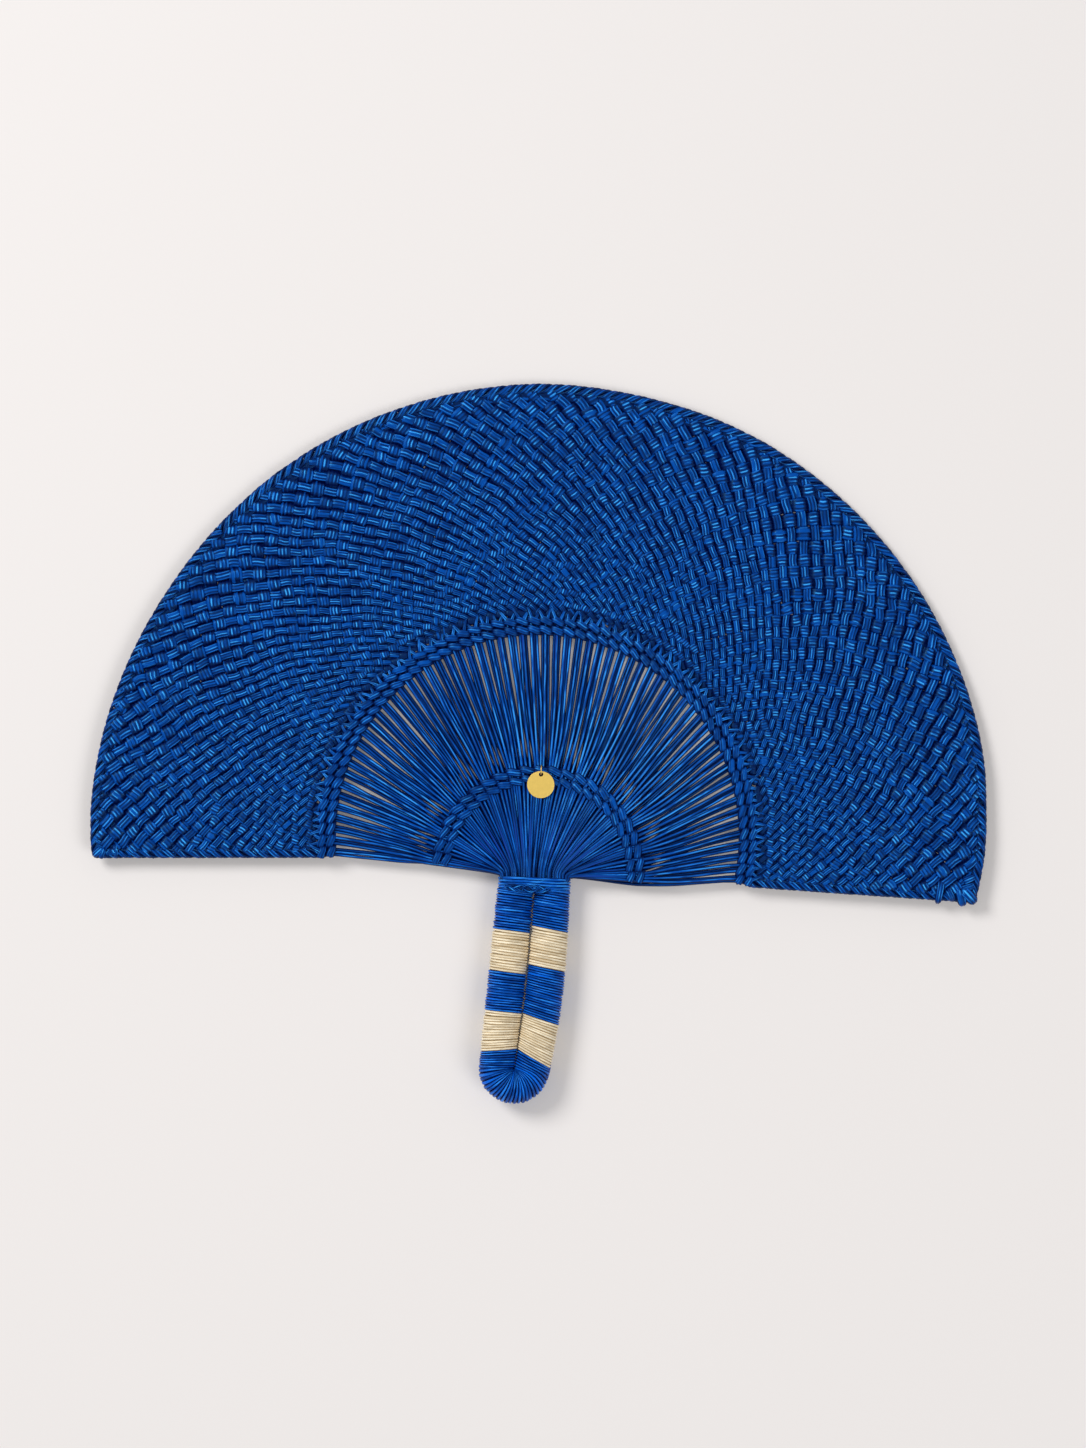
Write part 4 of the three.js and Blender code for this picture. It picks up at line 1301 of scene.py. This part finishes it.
def slanted(rope, places):
    """Slides the inner side of the wraps along the rope, as the turns lie slanting on the right leg."""
    left = np.array([0, *LEFT_WRAPS[2:]]) * MM
    right = rope.total - np.array([*RIGHT_WRAPS[:0:-1], 0]) * MM
    slides = np.array(WRAP_SLIDES) * MM
    amount = np.interp(places[:, 2], np.concatenate([left, right]), slides)
    reach = np.maximum(np.hypot(places[:, 0], places[:, 1]), MM)
    inner_side = (1 - places[:, 0] / reach) / 2
    moved = places.copy()
    moved[:, 2] += amount * inner_side
    return moved


def wound_run(start, end, turns, radius, thickness, seed):
    """One unbroken strand wound round the Z axis."""
    steps = 20
    pitch = (end - start) / turns
    run = []
    for i in range(int(turns * steps) + 1):
        turn = i / steps
        angle = 2 * math.pi * turn - math.pi / 2
        uneven = noise.noise(Vector((turn * 0.9, math.cos(angle) * 0.5, seed)))
        rise = start + pitch * min(max(turn + uneven * 0.22, 0), turns)
        out = radius + uneven * thickness * 0.16
        place = Vector((out * math.cos(angle), out * math.sin(angle), rise))
        exposed = 0.88 + 0.24 * noise.noise(Vector((turn * 0.6, seed, 5.0)))
        run.append(Station(place, 1.0 + 0.14 * uneven, exposed))
    return run


class RAFFIA_OT_handle(bpy.types.Operator):
    """Wrap the looped handle in blue and natural bands"""

    bl_idname = "raffia_fan.handle"
    bl_label = "Wrap Handle"

    def execute(self, context):
        handle = context.scene.raffia_fan.handle
        rope = HandleRope(handle)
        left, right = LEFT_WRAPS, RIGHT_WRAPS
        words = ("blue_upper", "natural_upper", "blue_lower", "natural_lower")
        wraps = []
        for i, word in enumerate(words):
            wraps.append((f"left_{word}", left[i] * MM, left[i + 1] * MM))
            wraps.append((f"right_{word}", rope.total - right[i + 1] * MM, rope.total - right[i] * MM))
        wraps.append(("bend_blue", left[-1] * MM, rope.total - right[-1] * MM))
        radius = handle.wrap_radius - handle.wrap_thickness / 2
        for number, (word, start, end) in enumerate(wraps):
            pitch = handle.strand_pitch * (0.82 if word == "bend_blue" else 1)
            turns = round((end - start) / pitch)
            width = (end - start) / turns / 2 * 1.14
            corners = strand_outline(width, handle.wrap_thickness / 2, 1)
            name = f"wrap_strand_{word}"
            run = wound_run(start, end, turns, radius, handle.wrap_thickness, number)
            finish, falloff = (natural_raffia, 0.9) if "natural" in word else (wrap_raffia, 1.6)
            mesh = swept_mesh(name, [run], corners, on_edge=True, falloff=falloff)
            reshape(mesh, lambda places: rope.lay(slanted(rope, places)))
            add_raffia(name, mesh, [f"wrap_{word}"], finish)
        core = frame["nodes"]["handle_core"]
        core.data.materials.clear()
        core.data.materials.append(core_raffia())
        return {"FINISHED"}


# Neck: the binding round both legs, and the twisted end laid across it


def binding_run(handle, turns, pitch, thickness):
    """Turns round both legs, wound round the Z axis."""
    radius = handle.wrap_radius - thickness / 2
    arc_steps = 10
    steps = 2 * (arc_steps + 1)
    run = []
    for i in range(int(turns * steps) + 1):
        step = i % steps
        left = step > arc_steps
        angle = -math.pi / 2 + math.pi * (step - (arc_steps + 1) * left) / arc_steps + math.pi * left
        uneven = noise.noise(Vector((i * 0.11, 3.3, 0.7)))
        centre = handle.left_top if left else handle.right_top
        out = radius + uneven * 0.25 * MM
        place = Vector((centre + out * math.cos(angle), out * math.sin(angle), pitch * (i / steps + 0.5)))
        place.z += uneven * 0.2 * MM
        run.append(Station(place, 1 + 0.1 * uneven))
    return run


def lashing_runs(handle, front):
    """Fine strands that cross each other along the lower edge of the binding."""
    middle = (handle.left_top + handle.right_top) / 2 - 3 * MM
    height = -handle.binding_drop - BINDING_HEIGHT + 2.1 * MM
    steps = 48
    runs = []
    for strand in range(6):
        run = []
        for i in range(steps + 1):
            share = i / steps
            phase = strand * 1.7 + share * (8 + 2.3 * (strand % 3))
            spread = math.sin(math.pi * share) ** 0.3
            sideways = middle + 20 * MM * (share - 0.5) + (strand % 2) * MM
            up = height + (1.5 * math.sin(phase) - 0.25 * (strand % 2)) * MM * spread
            crest = math.cos(phase * 1.4 + strand)
            out = front + (0.3 * crest * spread - 0.7 * (1 - spread)) * MM
            # Painted shade: a lashing strand is painted darker where it lies deeper.
            run.append(Station(Vector((sideways, up, out)), 1.0, 0.75 + 0.25 * crest))
        runs.append(run)
    return runs


class RAFFIA_OT_neck(bpy.types.Operator):
    """Bind the neck and lash the binding"""

    bl_idname = "raffia_fan.neck"
    bl_label = "Bind Neck"

    def execute(self, context):
        handle = context.scene.raffia_fan.handle
        turns = 5
        thickness = 1.9 * MM
        pitch = BINDING_HEIGHT / (turns + 1)
        corners = strand_outline(pitch / 2 * 1.06, thickness / 2, 2, groove=0.2)
        run = binding_run(handle, turns, pitch, thickness)
        mesh = swept_mesh("binding_strand", [run], corners, on_edge=True)
        top = -handle.binding_drop

        def stand(places):
            return np.column_stack([places[:, 0], top - places[:, 2], flatter_below(places[:, 1])])

        reshape(mesh, stand)
        add_raffia("binding_strand", mesh, ["neck_binding"], wrap_raffia)
        front = handle.wrap_radius + 0.1 * MM
        corners = strand_outline(0.46 * MM, 0.42 * MM, 1)
        mesh = swept_mesh("lashing_strands", lashing_runs(handle, front), corners, falloff=2.0)
        add_raffia("lashing_strands", mesh, ["neck_lashing"])
        return {"FINISHED"}


# Tag: a bare brass disc on a wire ring

# Radius and thickness of the disc, radius of its hole and the hole's distance from the middle, and
# how far the edges are rounded, in millimetres
TAG_SIZES = (6.1, 0.6, 0.95, 4.6, 0.14)
RING_RADIUS = 2.2 * MM
RING_WIRE = 0.28 * MM
RING_SIDES = 10
RING_STEPS = 48
# Half the gap where the wire's ends meet, as an angle
RING_CUT = 0.04


def tag_basis(hole, middle, across):
    """Axes of the tag: across it, from its hole to its far edge, and out of its face."""
    down = (middle - hole).normalized()
    face = across.cross(-down).normalized()
    return Matrix((across, face.cross(across), face)).transposed().to_4x4()


class RAFFIA_OT_tag(bpy.types.Operator):
    """Hang the brass tag on its ring"""

    bl_idname = "raffia_fan.tag"
    bl_label = "Hang Tag"

    def execute(self, context):
        turn = JOINTS["jump_ring_turn"]
        swing = JOINTS["tag_swing"]
        axis = -Vector(turn["axis"]).normalized()
        ring_centre = Vector(turn["pos_m"])
        hole = Vector(swing["pos_m"])
        self.add_disc(hole, axis)
        self.add_ring(ring_centre, axis)
        return {"FINISHED"}

    def add_disc(self, hole, axis):
        radius, thickness, hole_radius, hole_offset, edge = (size * MM for size in TAG_SIZES)
        data = bpy.data.curves.new("tag_plate", "CURVE")
        data.dimensions = "2D"
        data.fill_mode = "BOTH"
        data.extrude = thickness / 2 - edge
        data.bevel_depth = edge
        data.bevel_resolution = 3
        for size, shift in ((radius - edge, -hole_offset), (hole_radius + edge, 0)):
            spline = data.splines.new("POLY")
            steps = 96 if shift else 32
            spline.points.add(steps - 1)
            for i, point in enumerate(spline.points):
                angle = 2 * math.pi * i / steps
                point.co = (size * math.cos(angle), shift + size * math.sin(angle), 0, 1)
            spline.use_cyclic_u = True
        plate = bpy.data.objects.new("tag_plate", data)
        bpy.context.scene.collection.objects.link(plate)
        graph = bpy.context.evaluated_depsgraph_get()
        mesh = bpy.data.meshes.new_from_object(plate.evaluated_get(graph))
        bpy.data.objects.remove(plate)
        shape = bmesh.new()
        shape.from_mesh(mesh)
        bmesh.ops.remove_doubles(shape, verts=shape.verts, dist=0.001 * MM)
        bmesh.ops.recalc_face_normals(shape, faces=shape.faces)
        shape.to_mesh(mesh)
        shape.free()
        mesh.transform(Matrix.Translation(hole) @ tag_basis(hole, middle_of("tag_disc"), axis))
        piece = add_piece("tag_plate", mesh, brass(), ["tag_disc"], body="tag")
        for polygon in piece.data.polygons:
            polygon.use_smooth = len(polygon.vertices) == 4

    def add_ring(self, centre, axis):
        turns = [2 * math.pi * i / RING_SIDES for i in range(RING_SIDES)]
        corners = [(RING_WIRE * math.cos(turn), RING_WIRE * math.sin(turn)) for turn in turns]
        run = []
        for i in range(RING_STEPS + 1):
            angle = RING_CUT + (2 * math.pi - 2 * RING_CUT) * i / RING_STEPS
            run.append(Station(Vector((math.cos(angle), math.sin(angle), 0)) * RING_RADIUS, 1.0))
        mesh = swept_mesh("tag_ring", [run], corners)
        across = axis.cross(Vector((0, 0, 1))).normalized()
        basis = Matrix((-across, axis.cross(-across), axis)).transposed().to_4x4()
        mesh.transform(Matrix.Translation(centre) @ basis)
        add_piece("tag_ring", mesh, brass(), ["jump_ring"], body="ring")


# Stage: pale floor, soft light from the upper left, camera straight above

# The share of its own glow in the floor that the camera sees, and the colour of that glow
FLOOR_GLOW = 0.13
FLOOR_LIGHT = (0.86, 0.83, 0.825)
# The world's colour, its strength as light on the fan, and its strength as gloss shows it
WORLD_COLOUR = (1.0, 0.985, 0.975)
WORLD_LIGHT = 0.42
WORLD_GLOSS = 1.0
# Name, place, width, power and colour of each lamp
LAMPS = (
    ("key_softbox", (-1.7, 1.15, 2.1), 1.2, 57, (1, 0.99, 0.975)),
    ("fill_softbox", (1.6, -1.3, 2.2), 1.6, 27, (1, 1, 1)),
)
# In pixels of the photograph: its size, and where the middle of the rim's circle lies
PHOTO_SIZE = Vector((1086.0, 1448.0))
RIM_CENTRE_PIXEL = Vector((542.0, 833.1))


def add_lamp(name, place, width, power, colour):
    """A round lamp that points at the middle of the fan."""
    data = bpy.data.lights.new(name, "AREA")
    data.shape = "DISK"
    data.size = width
    data.energy = power
    data.color = colour
    lamp = bpy.data.objects.new(name, data)
    lamp.location = place
    lamp.rotation_euler = (Vector() - Vector(place)).to_track_quat("-Z", "Y").to_euler()
    bpy.context.scene.collection.objects.link(lamp)


def floor_material(colour):
    """A plain matt floor, with a faint glow for the camera alone that keeps shadows and gaps pale."""
    material, tree, shader = new_material("PlainFloor")
    dark, pale = [c * 0.995 for c in colour], [min(c * 1.005, 1) for c in colour]
    tone = mix_colour(tree, object_noise(tree, 3.0), dark, pale)
    rays = tree.nodes.new("ShaderNodeLightPath")
    backlit = math_node(tree, "MULTIPLY", rays.outputs["Is Camera Ray"], FLOOR_GLOW)
    tree.links.new(mix_colour(tree, backlit, tone, (0, 0, 0)), shader.inputs["Base Color"])
    shader.inputs["Emission Color"].default_value = (*FLOOR_LIGHT, 1)
    tree.links.new(backlit, shader.inputs["Emission Strength"])
    shader.inputs["Roughness"].default_value = 0.9
    shader.inputs["Specular IOR Level"].default_value = 0.1
    return material


class RAFFIA_OT_stage(bpy.types.Operator):
    """Set the floor, the light and the camera"""

    bl_idname = "raffia_fan.stage"
    bl_label = "Set Stage"

    def execute(self, context):
        scene = context.scene
        scene.view_settings.view_transform = "Standard"
        self.add_floor(scene)
        self.add_world(scene)
        for lamp in LAMPS:
            add_lamp(*lamp)
        self.add_camera(scene)
        return {"FINISHED"}

    def add_floor(self, scene):
        shape = bmesh.new()
        bmesh.ops.create_grid(shape, x_segments=1, y_segments=1, size=4)
        mesh = bpy.data.meshes.new("floor")
        shape.to_mesh(mesh)
        shape.free()
        mesh.materials.append(floor_material(scene.raffia_fan.stage.floor_colour))
        floor = bpy.data.objects.new("floor", mesh)
        scene.collection.objects.link(floor)

    def add_world(self, scene):
        world = bpy.data.worlds.new("studio")
        world.use_nodes = True
        tree = world.node_tree
        background = tree.nodes["Background"]
        background.inputs["Color"].default_value = (*WORLD_COLOUR, 1)
        rays = tree.nodes.new("ShaderNodeLightPath")
        level = tree.nodes.new("ShaderNodeMapRange")
        level.inputs["To Min"].default_value = WORLD_LIGHT
        level.inputs["To Max"].default_value = WORLD_GLOSS
        tree.links.new(rays.outputs["Is Glossy Ray"], level.inputs["Value"])
        tree.links.new(level.outputs["Result"], background.inputs["Strength"])
        scene.world = world

    def add_camera(self, scene):
        """A camera straight above, which sees what the photograph shows."""
        stage = scene.raffia_fan.stage
        middle = PHOTO_SIZE / 2 - RIM_CENTRE_PIXEL
        offset = Matrix.Rotation(stage.camera_turn, 2) @ Vector((middle.x, -middle.y)) * stage.photo_scale
        target = blade_to_row() @ Vector((offset.x, offset.y, 0))
        data = bpy.data.cameras.new("photo_camera")
        data.sensor_fit = "VERTICAL"
        data.sensor_height = 36
        data.lens = data.sensor_height * stage.camera_height / (PHOTO_SIZE.y * stage.photo_scale)
        data.clip_end = 20
        camera = bpy.data.objects.new("photo_camera", data)
        camera.location = target + Vector((0, 0, stage.camera_height))
        camera.rotation_euler = (0, 0, stage.camera_turn)
        scene.collection.objects.link(camera)
        scene.camera = camera


# Panel, registration and run


class RAFFIA_PT_fan(bpy.types.Panel):
    """Lists the settings and the steps of the fan"""

    bl_label = "Raffia Fan"
    bl_idname = "RAFFIA_PT_fan"
    bl_space_type = "VIEW_3D"
    bl_region_type = "UI"
    bl_category = "Raffia Fan"

    def draw(self, context):
        settings = context.scene.raffia_fan
        for group in (settings.blade, settings.bands, settings.handle, settings.colours, settings.stage):
            box = self.layout.box()
            for name in group.bl_rna.properties.keys():
                if name not in {"rna_type", "name"}:
                    box.prop(group, name)
        for operator in OPERATORS:
            self.layout.operator(operator.bl_idname)


OPERATORS = (
    RAFFIA_OT_weave,
    RAFFIA_OT_edges,
    RAFFIA_OT_spokes,
    RAFFIA_OT_bands,
    RAFFIA_OT_handle,
    RAFFIA_OT_neck,
    RAFFIA_OT_tag,
    RAFFIA_OT_stage,
)

CLASSES = (
    RaffiaBladeSettings,
    RaffiaBandSettings,
    RaffiaHandleSettings,
    RaffiaColourSettings,
    RaffiaStageSettings,
    RaffiaFanSettings,
    *OPERATORS,
    RAFFIA_PT_fan,
)


def register():
    for cls in CLASSES:
        bpy.utils.register_class(cls)
    bpy.types.Scene.raffia_fan = PointerProperty(type=RaffiaFanSettings)


def unregister():
    del bpy.types.Scene.raffia_fan
    for cls in reversed(CLASSES):
        bpy.utils.unregister_class(cls)


def main():
    register()
    bpy.ops.raffia_fan.weave()
    bpy.ops.raffia_fan.edges()
    bpy.ops.raffia_fan.spokes()
    bpy.ops.raffia_fan.bands()
    bpy.ops.raffia_fan.handle()
    bpy.ops.raffia_fan.neck()
    bpy.ops.raffia_fan.tag()
    bpy.ops.raffia_fan.stage()


if __name__ == "__main__":
    main()
